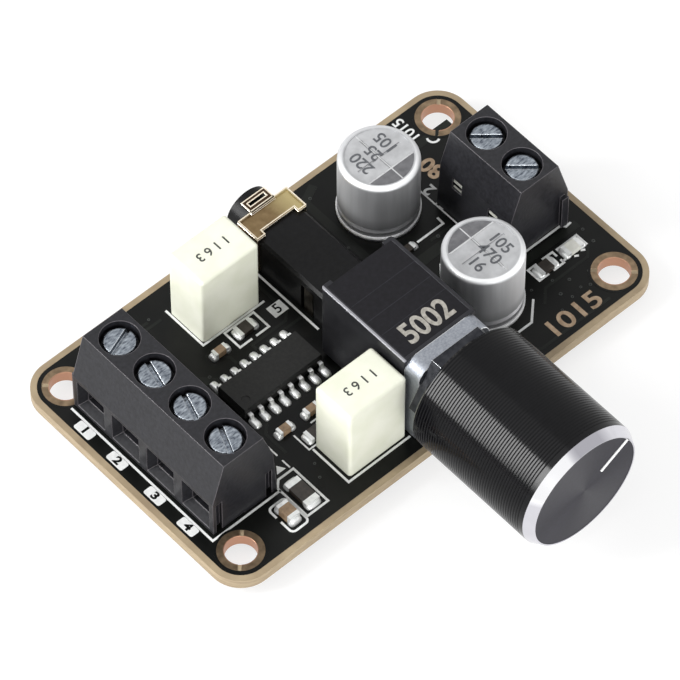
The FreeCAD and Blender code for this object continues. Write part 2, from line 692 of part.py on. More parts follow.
def make_contacts(label, count):
    """Fixed contacts: a bar through each cage, a leg behind it and a solder tail."""
    body = new_body(label, several=True)
    leg_rear = d.chamber_rear - d.contact_rear_gap
    leg_front = leg_rear - d.contact_leg_thickness
    bar_foot = d.contact_top - d.contact_thickness
    first = pole_offsets(count)[0]
    strip = new_sketch(body, "XZ", first - d.contact_half_width)
    add_outline(
        strip,
        [
            (-d.contact_front, d.contact_top),
            (leg_rear, d.contact_top),
            (leg_rear, ORIGIN),
            (leg_front, ORIGIN),
            (leg_front, bar_foot),
            (-d.contact_front, bar_foot),
        ],
    )
    bar = pad(body, strip, d.contact_half_width * 2, "+Y")
    tail = new_sketch(body, "XZ", first - d.contact_tail_width / 2)
    add_rectangle(tail, leg_front, leg_rear, -d.board_thickness - d.lead_tail, ORIGIN)
    tails = pad(body, tail, d.contact_tail_width, "+Y")
    repeat(body, [bar, tails], "Y_Axis", d.terminal_pitch, count)
    return body, (leg_front + leg_rear) / 2


def make_clamp_screw(label):
    """Slotted clamp screw, turned in its own frame about z."""
    body = new_body(label)
    head_foot = d.chamber_height + d.screw_web_thickness + d.screw_head_lift
    head_top = head_foot + d.screw_head_height
    tip = d.contact_top + d.cage_nut_gap
    point = d.screw_thread_radius - d.screw_point_bevel
    bevel = d.screw_head_bevel
    profile = new_sketch(body, "XZ")
    add_outline(
        profile,
        [
            (ORIGIN, tip),
            (point, tip),
            (d.screw_thread_radius, tip + d.screw_point_bevel),
            (d.screw_thread_radius, head_foot),
            (d.screw_head_radius, head_foot),
            (d.screw_head_radius, head_top - bevel),
            (d.screw_head_radius - bevel, head_top),
            (ORIGIN, head_top),
        ],
    )
    revolve(body, profile)
    slot = new_sketch(body, "XY", head_top)
    half_slot = d.screw_slot_width / 2
    add_rectangle(slot, -screw_well_radius, screw_well_radius, -half_slot, half_slot)
    pocket(body, slot, d.screw_slot_depth, "-Z")
    return body


def make_clamp_cage(label):
    """Rising cage: a folded loop whose top is the nut and whose floor lifts the wire."""
    body = new_body(label)
    nut_foot = d.contact_top + d.cage_nut_gap
    nut_top = nut_foot + d.cage_nut_thickness
    inner = cage_half_width - d.cage_wall
    loop = new_sketch(body, "YZ", -d.cage_length / 2)
    add_rectangle(loop, -cage_half_width, cage_half_width, d.cage_foot, nut_top)
    add_rectangle(loop, -inner, inner, d.cage_foot + d.cage_floor_thickness, nut_foot)
    pad(body, loop, d.cage_length, "+X")
    dress_edges(body, "Fillet", d.cage_fold_radius,
                lambda edge: runs_along(edge, 0) and abs(edge.Vertexes[0].Y) > inner.value + 1e-3)
    thread = new_sketch(body, "XY", nut_top)
    add_circle(thread, ORIGIN, ORIGIN, d.screw_thread_radius + d.thread_clearance)
    pocket(body, thread, d.cage_nut_thickness, "-Z")
    return body


def make_terminals(prefix, side, centre_y, slot_angles):
    """One block at an end of the board; side is -1 at the -X end and +1 at the +X end."""
    count = len(slot_angles)
    axis_x = terminal_axis * side
    turn = 0.0 if side < 0 else 180.0
    housing = make_terminal_housing(f"{prefix}_terminal_housing", count)
    place(housing, axis_x, centre_y, board_top, turn=turn)
    contacts, leg_x = make_contacts(f"{prefix}_terminal_contacts", count)
    place(contacts, axis_x, centre_y, board_top, turn=turn)
    for number, (offset, slot_angle) in enumerate(zip(pole_offsets(count), slot_angles), start=1):
        y = centre_y + offset
        drill_for_strip(axis_x - leg_x * side, y, d.contact_leg_thickness / 2,
                        d.contact_tail_width / 2)
        screw = make_clamp_screw(f"{prefix}_clamp_screw_{number}")
        place(screw, axis_x, y, board_top, turn=slot_angle)
        cage = make_clamp_cage(f"{prefix}_clamp_cage_{number}")
        place(cage, axis_x, y, board_top)


# Driver slot directions seen from above, degrees from +X, from the front pole to the rear one.
SPEAKER_SLOT_ANGLES = (67.0, 72.0, 75.0, 20.0)
POWER_SLOT_ANGLES = (-42.0, -42.0)


# Amplifier chip: a moulded small-outline body with eight gull-wing leads on each side.

CHIP_LEADS_A_SIDE = 8


def make_chip():
    body = new_body("amplifier_chip")
    half_length = d.chip_length / 2
    half_width = d.chip_width / 2
    half_height = d.chip_body_height / 2
    middle = d.chip_standoff + half_height
    for towards in ("+Z", "-Z"):
        outline = new_sketch(body, "XY", middle)
        add_rectangle(outline, -half_length, half_length, -half_width, half_width)
        pad(body, outline, half_height, towards, -d.chip_draft_angle)
    dimple = new_sketch(body, "XY", d.chip_standoff + d.chip_body_height)
    inset = d.chip_dimple_inset
    add_circle(dimple, inset - half_length, inset - half_width, d.chip_dimple_radius)
    pocket(body, dimple, d.chip_dimple_depth, "-Z")
    place(body, chip_x, d.chip_centre_y, board_top)

    leads = new_body("amplifier_chip_leads", several=True)
    shoulder = half_width
    toe = half_width + d.chip_lead_reach
    heel = toe - d.chip_foot_length
    thickness = d.chip_lead_thickness
    root_low = middle - thickness / 2
    root_high = middle + thickness / 2
    knee = shoulder + d.chip_knee_reach
    first = -(d.chip_pitch * (CHIP_LEADS_A_SIDE - 1) / 2) - d.chip_lead_width / 2
    profile = new_sketch(leads, "YZ", first)
    add_outline(
        profile,
        [
            (shoulder, root_low),
            (knee, root_low),
            (heel - thickness / 2, ORIGIN),
            (toe, ORIGIN),
            (toe, thickness),
            (heel + thickness / 2, thickness),
            (knee + thickness, root_high),
            (shoulder, root_high),
        ],
    )
    wing = pad(leads, profile, d.chip_lead_width, "+X")
    row = repeat(leads, [wing], "X_Axis", d.chip_pitch, CHIP_LEADS_A_SIDE)
    opposite = leads.newObject("PartDesign::MultiTransform", "chip_lead_rows")
    opposite.Originals = [wing]
    mirror = leads.newObject("PartDesign::Mirrored", "chip_lead_mirror")
    mirror.MirrorPlane = (origin_feature(leads, "XZ_Plane"), [""])
    opposite.Transformations = [row, mirror]
    leads.Tip = opposite
    place(leads, chip_x, d.chip_centre_y, board_top)


# Film capacitors: upright moulded boxes on two leads, one behind and one before the chip.

def make_film_capacitor(name, y):
    body = new_body(f"{name}_case")
    half_length = d.film_length / 2
    half_width = d.film_width / 2
    outline = new_sketch(body, "XY")
    add_rectangle(outline, -half_length, half_length, -half_width, half_width)
    pad(body, outline, d.film_height, "+Z")
    dress_edges(body, "Fillet", d.film_edge_radius,
                lambda edge: edge.BoundBox.ZMax > 1e-3)
    foot = new_sketch(body, "XY")
    wall = d.film_foot_wall
    add_rectangle(foot, wall - half_length, half_length - wall,
                  wall - half_width, half_width - wall)
    pocket(body, foot, d.film_foot_height, "+Z")
    place(body, film_x, y, board_top)

    leads = new_body(f"{name}_leads", several=True)
    half_pitch = d.film_lead_pitch / 2
    ends = new_sketch(leads, "XY", -d.board_thickness - d.lead_tail)
    for side in (-1, 1):
        add_circle(ends, half_pitch * side, ORIGIN, d.film_lead_radius)
        drill_for_wire(film_x + half_pitch * side, y, d.film_lead_radius)
    length = d.board_thickness + d.lead_tail + d.film_foot_height
    pad(leads, ends, length, "+Z")
    place(leads, film_x, y, board_top)


# Electrolytic capacitors: drawn aluminium cans, full of their roll, crimped on a rubber bung,
# with a cross score in the top.

def can_outline():
    outer = d.can_radius
    inner = d.can_radius - d.can_wall
    low = d.can_crimp_height - d.can_crimp_half
    high = d.can_crimp_height + d.can_crimp_half
    return [
        (inner, d.can_lift),
        (outer, d.can_lift),
        (outer, low),
        (outer - d.can_crimp_depth, d.can_crimp_height),
        (outer, high),
        (outer, d.can_height),
        (ORIGIN, d.can_height),
        (ORIGIN, d.bung_top),
        (inner, d.bung_top),
        (inner, high),
        (inner - d.can_crimp_depth, d.can_crimp_height),
        (inner, low),
    ]


def make_electrolytic(name, y):
    can = new_body(f"{name}_can")
    profile = new_sketch(can, "XZ")
    add_outline(profile, can_outline())
    revolve(can, profile)
    dress_edges(
        can, "Fillet", d.can_edge_radius,
        lambda edge: edge.BoundBox.ZMin > d.can_height.value - 1e-3
        and edge.BoundBox.XLength > d.can_radius.value * 1.9,
    )
    face = new_sketch(can, "XY", d.can_height)
    add_circle(face, ORIGIN, ORIGIN, d.can_radius - d.can_face_inset)
    pocket(can, face, d.can_face_recess, "-Z")
    half_score = d.score_length / 2
    half_groove = d.score_width / 2
    score = new_sketch(can, "XY", d.can_height)
    add_outline(
        score,
        [
            (-half_score, -half_groove), (-half_groove, -half_groove),
            (-half_groove, -half_score), (half_groove, -half_score),
            (half_groove, -half_groove), (half_score, -half_groove),
            (half_score, half_groove), (half_groove, half_groove),
            (half_groove, half_score), (-half_groove, half_score),
            (-half_groove, half_groove), (-half_score, half_groove),
        ],
    )
    pocket(can, score, d.can_face_recess + d.score_depth, "-Z")
    place(can, can_x, y, board_top)

    bung = new_body(f"{name}_bung")
    inner = d.can_radius - d.can_wall
    profile = new_sketch(bung, "XZ")
    add_outline(
        profile,
        [
            (ORIGIN, d.bung_foot),
            (inner, d.bung_foot),
            (inner, d.can_crimp_height - d.can_crimp_half),
            (inner - d.can_crimp_depth, d.can_crimp_height),
            (inner, d.can_crimp_height + d.can_crimp_half),
            (inner, d.bung_top),
            (ORIGIN, d.bung_top),
        ],
    )
    revolve(bung, profile)
    half_pitch = d.can_lead_pitch / 2
    bores = new_sketch(bung, "XY", d.bung_foot)
    for side in (-1, 1):
        add_circle(bores, ORIGIN, half_pitch * side, d.can_lead_radius)
    pocket(bung, bores, d.bung_top - d.bung_foot, "+Z")
    place(bung, can_x, y, board_top)

    leads = new_body(f"{name}_leads", several=True)
    ends = new_sketch(leads, "XY", -d.board_thickness - d.lead_tail)
    for side in (-1, 1):
        add_circle(ends, ORIGIN, half_pitch * side, d.can_lead_radius)
        drill_for_wire(can_x, y + half_pitch * side, d.can_lead_radius)
    pad(leads, ends, d.board_thickness + d.lead_tail + d.bung_top, "+Z")
    place(leads, can_x, y, board_top)


# Audio socket for a 3.5 mm plug: moulded body with a round nose towards the rear edge, a gilt
# sleeve contact folded over it, and springs in side slots. Its frame has the plug axis on
# x = 0 and the body's outer end at y = 0, and lies on the board's top.

SPRINGS = (
    ("audio_jack_tip_spring", 1, d.tip_spring_place),
    ("audio_jack_switch_spring", -1, d.tip_spring_place),
    ("audio_jack_ring_spring", 1, d.ring_spring_place),
)


def spring_centre(place_from_end):
    return place_from_end + d.spring_width / 2 - d.jack_length


def make_jack():
    body = new_body("audio_jack_body")
    outline = new_sketch(body, "XZ", -d.jack_length)
    half, height, bevel = d.jack_half_width, d.jack_height, d.jack_edge_chamfer
    add_outline(
        outline,
        [
            (-half, ORIGIN), (half, ORIGIN), (half, height - bevel),
            (half - bevel, height), (bevel - half, height), (-half, height - bevel),
        ],
    )
    pad(body, outline, d.jack_length, "+Y")
    nose = new_sketch(body, "XZ")
    add_circle(nose, ORIGIN, d.jack_axis_height, d.jack_nose_radius)
    pad(body, nose, d.jack_nose_length, "+Y")
    bore = new_sketch(body, "XZ", d.jack_nose_length)
    add_circle(bore, ORIGIN, d.jack_axis_height, d.jack_bore_radius)
    pocket(body, bore, d.jack_bore_depth, "-Y")
    slots = new_sketch(body, "XY")
    slot_half = d.spring_width / 2 + d.spring_slot_play
    inner = d.jack_half_width - d.spring_slot_depth
    for _, side, where in SPRINGS:
        y = spring_centre(where)
        ends = (inner * side, d.jack_half_width * side)
        low, high = (ends[0], ends[1]) if side > 0 else (ends[1], ends[0])
        add_rectangle(slots, low, high, y - slot_half, y + slot_half)
    pocket(body, slots, d.spring_slot_height, "+Z")
    place(body, d.jack_centre_x, jack_outer_y, board_top)


def make_jack_clip():
    body = new_body("audio_jack_sleeve_contact")
    inner = d.jack_half_width
    outer = d.jack_half_width + d.clip_thickness
    top = d.jack_height + d.clip_thickness
    half_tab = d.clip_tab_width / 2
    middle_y = -d.clip_width / 2
    band = new_sketch(body, "XZ", -d.clip_width)
    add_outline(
        band,
        [
            (-outer, ORIGIN), (-inner, ORIGIN), (-inner, d.jack_height),
            (inner, d.jack_height), (inner, ORIGIN), (outer, ORIGIN),
            (outer, top), (-outer, top),
        ],
    )
    pad(body, band, d.clip_width, "+Y")
    notch = new_sketch(body, "XY", top)
    notch_half = d.jack_half_width - d.clip_ear_width
    add_rectangle(notch, -notch_half, notch_half,
                  -d.clip_width, d.clip_notch_depth - d.clip_width)
    pocket(body, notch, d.clip_thickness, "-Z")
    hoop = new_sketch(body, "XY", top)
    hole_half = d.hoop_half_width - d.hoop_strip
    add_rectangle(hoop, -d.hoop_half_width, d.hoop_half_width,
                  -d.clip_thickness, d.hoop_length)
    add_rectangle(hoop, -hole_half, hole_half, d.hoop_strip, d.hoop_length - d.hoop_strip)
    pad(body, hoop, d.clip_thickness, "+Z")
    tabs = new_sketch(body, "XY")
    for side in (-1, 1):
        low, high = (inner, outer) if side > 0 else (-outer, -inner)
        add_rectangle(tabs, low, high, middle_y - half_tab, middle_y + half_tab)
        drill_for_strip(d.jack_centre_x + (inner + outer) / 2 * side, jack_outer_y + middle_y,
                        d.clip_thickness / 2, half_tab)
    pad(body, tabs, d.board_thickness + d.lead_tail, "-Z")
    place(body, d.jack_centre_x, jack_outer_y, board_top)


def make_jack_spring(label, side, where):
    """Bent contact: a leg up the slot, a fold, and a bow beside the plug bore."""
    body = new_body(label)
    strip = d.spring_thickness
    outside = d.jack_half_width - strip / 2
    leg_in = outside - strip
    crown = d.spring_slot_height - d.spring_slot_play
    contact = d.jack_bore_radius + d.spring_bore_gap
    axis = d.jack_axis_height
    bow = d.spring_bow
    free_end = axis - d.spring_end_drop
    outline = [
        (outside, -d.board_thickness - d.lead_tail),
        (outside, crown),
        (contact + bow, crown),
        (contact, axis),
        (contact + bow, free_end),
        (contact + bow + strip, free_end),
        (contact + strip, axis),
        (contact + bow + strip, crown - strip),
        (leg_in, crown - strip),
        (leg_in, -d.board_thickness - d.lead_tail),
    ]
    profile = new_sketch(body, "XZ", spring_centre(where) - d.spring_width / 2)
    add_outline(profile, [(u * side, v) for u, v in outline])
    pad(body, profile, d.spring_width, "+Y")
    drill_for_strip(d.jack_centre_x + (outside + leg_in) / 2 * side,
                    jack_outer_y + spring_centre(where), strip / 2, d.spring_width / 2)
    place(body, d.jack_centre_x, jack_outer_y, board_top)


# Potentiometer and knob, in one frame of their own: the shaft axis is z, z = 0 is the front
# plate's face, +z points out through the knob, +y is up and -y is down to the board.

pot_axis_z = board_top + d.pot_axis_height
pot_crown = d.pot_top - d.pot_axis_height
board_surface = -d.pot_axis_height
tail_depth = board_surface - d.board_thickness - d.lead_tail
web_rear = -d.plate_thickness - d.frame_sheet
front_rear = web_rear - d.front_track_depth
rear_rear = front_rear - d.rear_track_depth
switch_rear = rear_rear - d.switch_depth
housing_half = d.pot_half_width - d.frame_sheet


def stand_on_axis(body):
    place(body, d.pot_centre_x, pot_face_y, pot_axis_z, axis=X_AXIS, turn=90.0)


def make_front_plate():
    body = new_body("potentiometer_front_plate")
    outline = new_sketch(body, "XY", -d.plate_thickness)
    foot = board_surface + d.plate_foot
    add_rectangle(outline, -d.pot_half_width, d.pot_half_width, foot, pot_crown)
    pad(body, outline, d.plate_thickness, "+Z")
    dress_edges(body, "Fillet", d.plate_corner_radius,
                lambda edge: runs_along(edge, 2) and edge.Vertexes[0].Y > 0)
    bushing = new_sketch(body, "XY")
    add_circle(bushing, ORIGIN, ORIGIN, d.bushing_radius)
    pad(body, bushing, d.bushing_length, "+Z")
    bore = new_sketch(body, "XY", d.bushing_length)
    add_circle(bore, ORIGIN, ORIGIN, d.shaft_radius + d.shaft_clearance)
    pocket(body, bore, d.bushing_length + d.plate_thickness, "-Z")
    stand_on_axis(body)


def make_frame():
    """Folded sheet: a web behind the plate and two arms hooked round the housings."""
    body = new_body("potentiometer_frame")
    outer = d.pot_half_width
    inner = housing_half
    tab_in = inner - d.frame_tab
    front = -d.plate_thickness
    tab_rear = switch_rear - d.frame_sheet
    foot = board_surface + d.frame_foot
    plan = new_sketch(body, "XZ", foot)
    add_outline(
        plan,
        [
            (-outer, front), (outer, front), (outer, tab_rear), (tab_in, tab_rear),
            (tab_in, switch_rear), (inner, switch_rear), (inner, web_rear),
            (-inner, web_rear), (-inner, switch_rear), (-tab_in, switch_rear),
            (-tab_in, tab_rear), (-outer, tab_rear),
        ],
    )
    pad(body, plan, pot_crown - foot, "+Y")
    dress_edges(
        body, "Fillet", d.frame_fold_radius,
        lambda edge: runs_along(edge, 1)
        and abs(edge.Vertexes[0].X) > inner.value + 1e-3
        and edge.Vertexes[0].Z < switch_rear.value,
    )
    hole = new_sketch(body, "XY", front)
    add_circle(hole, ORIGIN, ORIGIN, d.shaft_radius + d.frame_hole_clearance)
    pocket(body, hole, d.frame_sheet, "-Z")
    lugs = new_sketch(body, "XZ", foot)
    lug_front = front - d.frame_lug_place
    lug_rear = lug_front - d.frame_lug_width
    for side in (-1, 1):
        low, high = (inner, outer) if side > 0 else (-outer, -inner)
        add_rectangle(lugs, low, high, lug_rear, lug_front)
        drill_for_strip(d.pot_centre_x + (inner + outer) / 2 * side,
                        pot_face_y - (lug_front + lug_rear) / 2,
                        d.frame_sheet / 2, d.frame_lug_width / 2)
    pad(body, lugs, foot - tail_depth, "-Y")
    stand_on_axis(body)


def make_track_housing(label, front, depth, cavity_depth):
    """Moulded track housing, open in front for its wiper rotor and bored for the spindle."""
    body = new_body(label)
    rear = front - depth
    outline = new_sketch(body, "XY", rear)
    foot = board_surface + d.pot_body_foot
    add_rectangle(outline, -housing_half, housing_half, foot, pot_crown)
    pad(body, outline, depth, "+Z")
    cavity = new_sketch(body, "XY", front)
    add_circle(cavity, ORIGIN, ORIGIN, d.rotor_radius + d.rotor_clearance)
    pocket(body, cavity, cavity_depth, "-Z")
    bore = new_sketch(body, "XY", front)
    add_circle(bore, ORIGIN, ORIGIN, d.spindle_radius + d.spindle_clearance)
    pocket(body, bore, depth, "-Z")
    stand_on_axis(body)


def make_rotor(label, front, cavity_depth, front_gap):
    """Wiper rotor pressed on the spindle, clear of its cavity all round."""
    body = new_body(label)
    face = front - front_gap
    thickness = cavity_depth - front_gap - d.rotor_clearance
    disc = new_sketch(body, "XY", face)
    add_circle(disc, ORIGIN, ORIGIN, d.rotor_radius)
    add_circle(disc, ORIGIN, ORIGIN, d.spindle_radius)
    pad(body, disc, thickness, "-Z")
    stand_on_axis(body)


def make_switch_housing():
    body = new_body("potentiometer_switch_housing")
    outline = new_sketch(body, "XY", switch_rear)
    foot = board_surface + d.pot_body_foot
    add_rectangle(outline, -housing_half, housing_half, foot, pot_crown)
    pad(body, outline, d.switch_depth, "+Z")
    bore = new_sketch(body, "XY", rear_rear)
    add_circle(bore, ORIGIN, ORIGIN, d.spindle_radius + d.spindle_clearance)
    pocket(body, bore, d.spindle_in_switch + d.rotor_clearance, "-Z")
    stand_on_axis(body)


def make_pot_leads():
    body = new_body("potentiometer_leads", several=True)
    rows = (
        (front_rear + d.pot_pin_thickness, (-1, 0, 1)),
        (rear_rear + d.pot_pin_thickness, (-1, 0, 1)),
        (rear_rear - d.switch_pin_place, (-1, 1)),
    )
    foot = board_surface + d.pot_body_foot
    half_width = d.pot_pin_width / 2
    half_strip = d.pot_pin_thickness / 2
    strips = new_sketch(body, "XZ", foot)
    for z, columns in rows:
        for column in columns:
            x = d.pot_pin_pitch * column
            add_rectangle(strips, x - half_width, x + half_width, z - half_strip, z + half_strip)
            drill_for_strip(d.pot_centre_x + x, pot_face_y - z, half_width, half_strip)
    pad(body, strips, foot - tail_depth, "-Y")
    stand_on_axis(body)


def make_nut():
    body = new_body("potentiometer_nut")
    corner = d.nut_across_flats / math.sqrt(3)
    outline = new_sketch(body, "XY")
    corners = []
    for index in range(6):
        angle = math.radians(60 * index)
        corners.append((corner * math.cos(angle), corner * math.sin(angle)))
    add_outline(outline, corners)
    pad(body, outline, d.nut_thickness, "+Z")
    bore = new_sketch(body, "XY")
    add_circle(bore, ORIGIN, ORIGIN, d.bushing_radius)
    pocket(body, bore, d.nut_thickness, "+Z")
    stand_on_axis(body)


def make_shaft():
    body = new_body("volume_shaft")
    step = web_rear - d.shaft_step
    spindle_end = rear_rear - d.spindle_in_switch
    profile = new_sketch(body, "XZ")
    add_outline(
        profile,
        [
            (ORIGIN, spindle_end),
            (d.spindle_radius, spindle_end),
            (d.spindle_radius, step),
            (d.shaft_radius, step),
            (d.shaft_radius, d.shaft_reach - d.shaft_bevel),
            (d.shaft_radius - d.shaft_bevel, d.shaft_reach),
            (ORIGIN, d.shaft_reach),
        ],
    )
    revolve(body, profile)
    stand_on_axis(body)


knob_rear = d.nut_thickness + d.knob_gap
knob_front = knob_rear + d.knob_length


def pointer_outline(sketch):
    along = (sine(d.pointer_angle), cosine(d.pointer_angle))
    half = d.pointer_width / 2
    corners = []
    for reach, side in ((d.pointer_start, 1), (d.pointer_end, 1),
                        (d.pointer_end, -1), (d.pointer_start, -1)):
        corners.append((along[0] * reach - along[1] * half * side,
                        along[1] * reach + along[0] * half * side))
    add_outline(sketch, corners)


def make_knob():
    shell = new_body("knob_shell")
    inner = d.knob_radius - d.knob_wall
    ceiling = knob_front - d.knob_face_wall
    bevel = d.knob_rear_bevel
    profile = new_sketch(shell, "XZ")
    add_outline(
        profile,
        [
            (inner, knob_rear),
            (d.knob_radius - bevel, knob_rear),
            (d.knob_radius, knob_rear + bevel),
            (d.knob_radius, knob_front - d.knob_ring_depth),
            (d.knob_radius - d.knob_ring_width, knob_front),
            (ORIGIN, knob_front),
            (ORIGIN, ceiling),
            (inner, ceiling),
        ],
    )
    revolve(shell, profile)
    groove = new_sketch(shell, "XY", knob_front)
    pointer_outline(groove)
    pocket(shell, groove, d.pointer_depth, "-Z")
    stand_on_axis(shell)

    core = new_body("knob_core")
    core_rear = knob_rear + d.knob_mouth_depth
    disc = new_sketch(core, "XY", core_rear)
    add_circle(disc, ORIGIN, ORIGIN, inner)
    pad(core, disc, ceiling - core_rear, "+Z")
    bore = new_sketch(core, "XY", core_rear)
    add_circle(bore, ORIGIN, ORIGIN, d.shaft_radius)
    pocket(core, bore, d.shaft_reach + d.core_bore_spare - core_rear, "+Z")
    stand_on_axis(core)

    pointer = new_body("knob_pointer")
    line = new_sketch(pointer, "XY", knob_front)
    pointer_outline(line)
    pad(pointer, line, d.pointer_depth, "-Z")
    stand_on_axis(pointer)


# Small chip parts on the board's top: a body between two metal ends.
# Each is its centre, its direction (0 along X, 1 along Y), length, width and height.

rear_film_front = film_rear_y - d.film_width / 2
front_film_rear = film_front_y + d.film_width / 2
power_block_end = d.power_poles_y - d.terminal_pitch
lamp_y = power_block_end - d.lamp_gap


def chip_capacitors():
    small = (d.small_part_length, d.small_part_width, d.small_capacitor_height)
    middle = (d.middle_part_length, d.middle_part_width, d.middle_capacitor_height)
    nearer_x = pot_left - d.front_pair_offset
    pair_y = front_film_rear + d.front_pair_gap
    return [
        (pot_left - d.rear_capacitor_offset, rear_film_front - d.rear_capacitor_gap, 0, *small),
        (nearer_x - d.front_pair_pitch, pair_y, 0, *small),
        (nearer_x, pair_y, 0, *small),
        (d.corner_capacitor_end_inset - board_end, d.corner_capacitor_edge_inset - board_edge,
         1, *middle),
    ]


def chip_resistors():
    small = (d.small_part_length, d.small_part_width, d.small_resistor_height)
    middle = (d.middle_part_length, d.middle_part_width, d.middle_resistor_height)
    large = (d.large_part_length, d.large_part_width, d.large_part_height)
    return [
        (pot_left - d.rear_resistor_offset, rear_film_front - d.rear_resistor_gap, 0, *middle),
        (pot_left - d.front_resistor_offset, front_film_rear + d.front_resistor_gap, 0, *middle),
        (board_end - d.lamp_end_inset - d.lamp_resistor_pitch, lamp_y, 0, *middle),
        (pot_right + d.can_resistor_offset, can_rear_y - d.can_resistor_gap, 0, *small),
        (d.corner_resistor_end_inset - board_end, d.corner_resistor_edge_inset - board_edge,
         1, *large),
    ]


def indicator_lamps():
    return [(board_end - d.lamp_end_inset, lamp_y, 0, d.middle_part_length,
             d.middle_part_width, d.middle_resistor_height)]


def make_chip_parts(label, parts):
    """Bodies in one node and their soldered metal ends in another."""
    bodies = new_body(label, several=True)
    ends = new_body(f"{label}_ends", several=True)
    for x, y, turn, length, width, height in parts:
        end_length = length * d.part_end_share
        half_body = length / 2 - end_length
        half_width = width / 2
        middle = new_sketch(bodies, "XY", board_top)
        caps = new_sketch(ends, "XY", board_top)
        stretches = (
            (middle, -half_body, half_body),
            (caps, -(length / 2), -half_body),
            (caps, half_body, length / 2),
        )
        for sketch, low, high in stretches:
            if turn == 0:
                add_rectangle(sketch, x + low, x + high, y - half_width, y + half_width)
            else:
                add_rectangle(sketch, x - half_width, x + half_width, y + low, y + high)
        pad(bodies, middle, height, "+Z")
        pad(ends, caps, height, "+Z")


def build():
    make_terminals("speaker", -1, d.speaker_poles_y, SPEAKER_SLOT_ANGLES)
    make_terminals("power", 1, d.power_poles_y, POWER_SLOT_ANGLES)
    make_chip()
    make_film_capacitor("film_capacitor_rear", film_rear_y)
    make_film_capacitor("film_capacitor_front", film_front_y)
    make_electrolytic("electrolytic_rear", can_rear_y)
    make_electrolytic("electrolytic_front", can_front_y)
    make_jack()
    make_jack_clip()
    for label, side, where in SPRINGS:
        make_jack_spring(label, side, where)
    make_front_plate()
    make_frame()
    make_track_housing("potentiometer_front_housing", web_rear, d.front_track_depth,
                       d.front_cavity_depth)
    make_track_housing("potentiometer_rear_housing", front_rear, d.rear_track_depth,
                       d.rear_cavity_depth)
    make_switch_housing()
    make_pot_leads()
    make_nut()
    make_shaft()
    make_rotor("volume_front_rotor", web_rear, d.front_cavity_depth,
               d.shaft_step + d.rotor_step_gap)
    make_rotor("volume_rear_rotor", front_rear, d.rear_cavity_depth, d.rotor_clearance)
    make_knob()
    make_chip_parts("chip_capacitors", chip_capacitors())
    make_chip_parts("chip_resistors", chip_resistors())
    make_chip_parts("indicator_lamp", indicator_lamps())
    make_board()
    make_fixing_rings()
    make_solder()


def check_and_export():
    """Refuse a failed feature or a broken shape, then write one STEP file for each node."""
    doc.recompute()
    for thing in doc.Objects:
        for state in ("Invalid", "Error"):
            if state in thing.State:
                raise RuntimeError(f"{thing.Name} is {state}")
    for name, body in NODES.items():
        if body.Shape.isNull() or not body.Shape.isValid():
            raise RuntimeError(f"{name} has no valid shape")
    os.makedirs("parts", exist_ok=True)
    for name, body in NODES.items():
        body.Shape.exportStep(f"parts/{name}.step")
        print(name, len(body.Shape.Solids), round(body.Shape.Volume, 3))


build()
check_and_export()
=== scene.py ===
import math

import bmesh
import bpy
from mathutils import Matrix, Vector


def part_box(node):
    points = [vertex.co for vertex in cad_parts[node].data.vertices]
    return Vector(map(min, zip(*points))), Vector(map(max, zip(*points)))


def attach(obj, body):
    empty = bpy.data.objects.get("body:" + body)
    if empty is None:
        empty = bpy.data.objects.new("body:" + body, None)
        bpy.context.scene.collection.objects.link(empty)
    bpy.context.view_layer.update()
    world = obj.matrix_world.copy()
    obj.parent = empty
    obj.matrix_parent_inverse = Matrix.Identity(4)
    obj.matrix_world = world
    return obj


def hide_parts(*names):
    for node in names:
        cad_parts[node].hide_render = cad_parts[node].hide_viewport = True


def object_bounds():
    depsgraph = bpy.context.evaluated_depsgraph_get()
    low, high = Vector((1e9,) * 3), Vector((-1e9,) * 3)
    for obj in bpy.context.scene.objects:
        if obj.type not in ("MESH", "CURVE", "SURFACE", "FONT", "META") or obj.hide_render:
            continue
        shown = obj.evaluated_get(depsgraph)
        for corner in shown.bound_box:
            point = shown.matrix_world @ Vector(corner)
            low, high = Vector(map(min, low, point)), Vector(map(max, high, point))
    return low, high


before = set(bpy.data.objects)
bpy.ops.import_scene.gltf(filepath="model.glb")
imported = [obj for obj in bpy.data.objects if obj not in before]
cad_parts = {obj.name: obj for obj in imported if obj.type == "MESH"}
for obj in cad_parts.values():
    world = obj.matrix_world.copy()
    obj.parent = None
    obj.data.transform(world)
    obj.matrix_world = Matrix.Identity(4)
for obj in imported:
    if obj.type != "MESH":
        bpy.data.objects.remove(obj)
cad_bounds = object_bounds()

# Circuit board. A tan glass laminate with a black glossy mask on both faces, which stops short
# of the edge. Copper runs lift the mask a little, and plated vias dot it.

MM = 0.001


def tone(*levels):
    """Linear colour of three sRGB levels from 0 to 255."""
    linear = [((level / 255 + 0.055) / 1.055) ** 2.4 if level > 10 else level / 3295 for level in levels]
    return (*linear, 1.0)


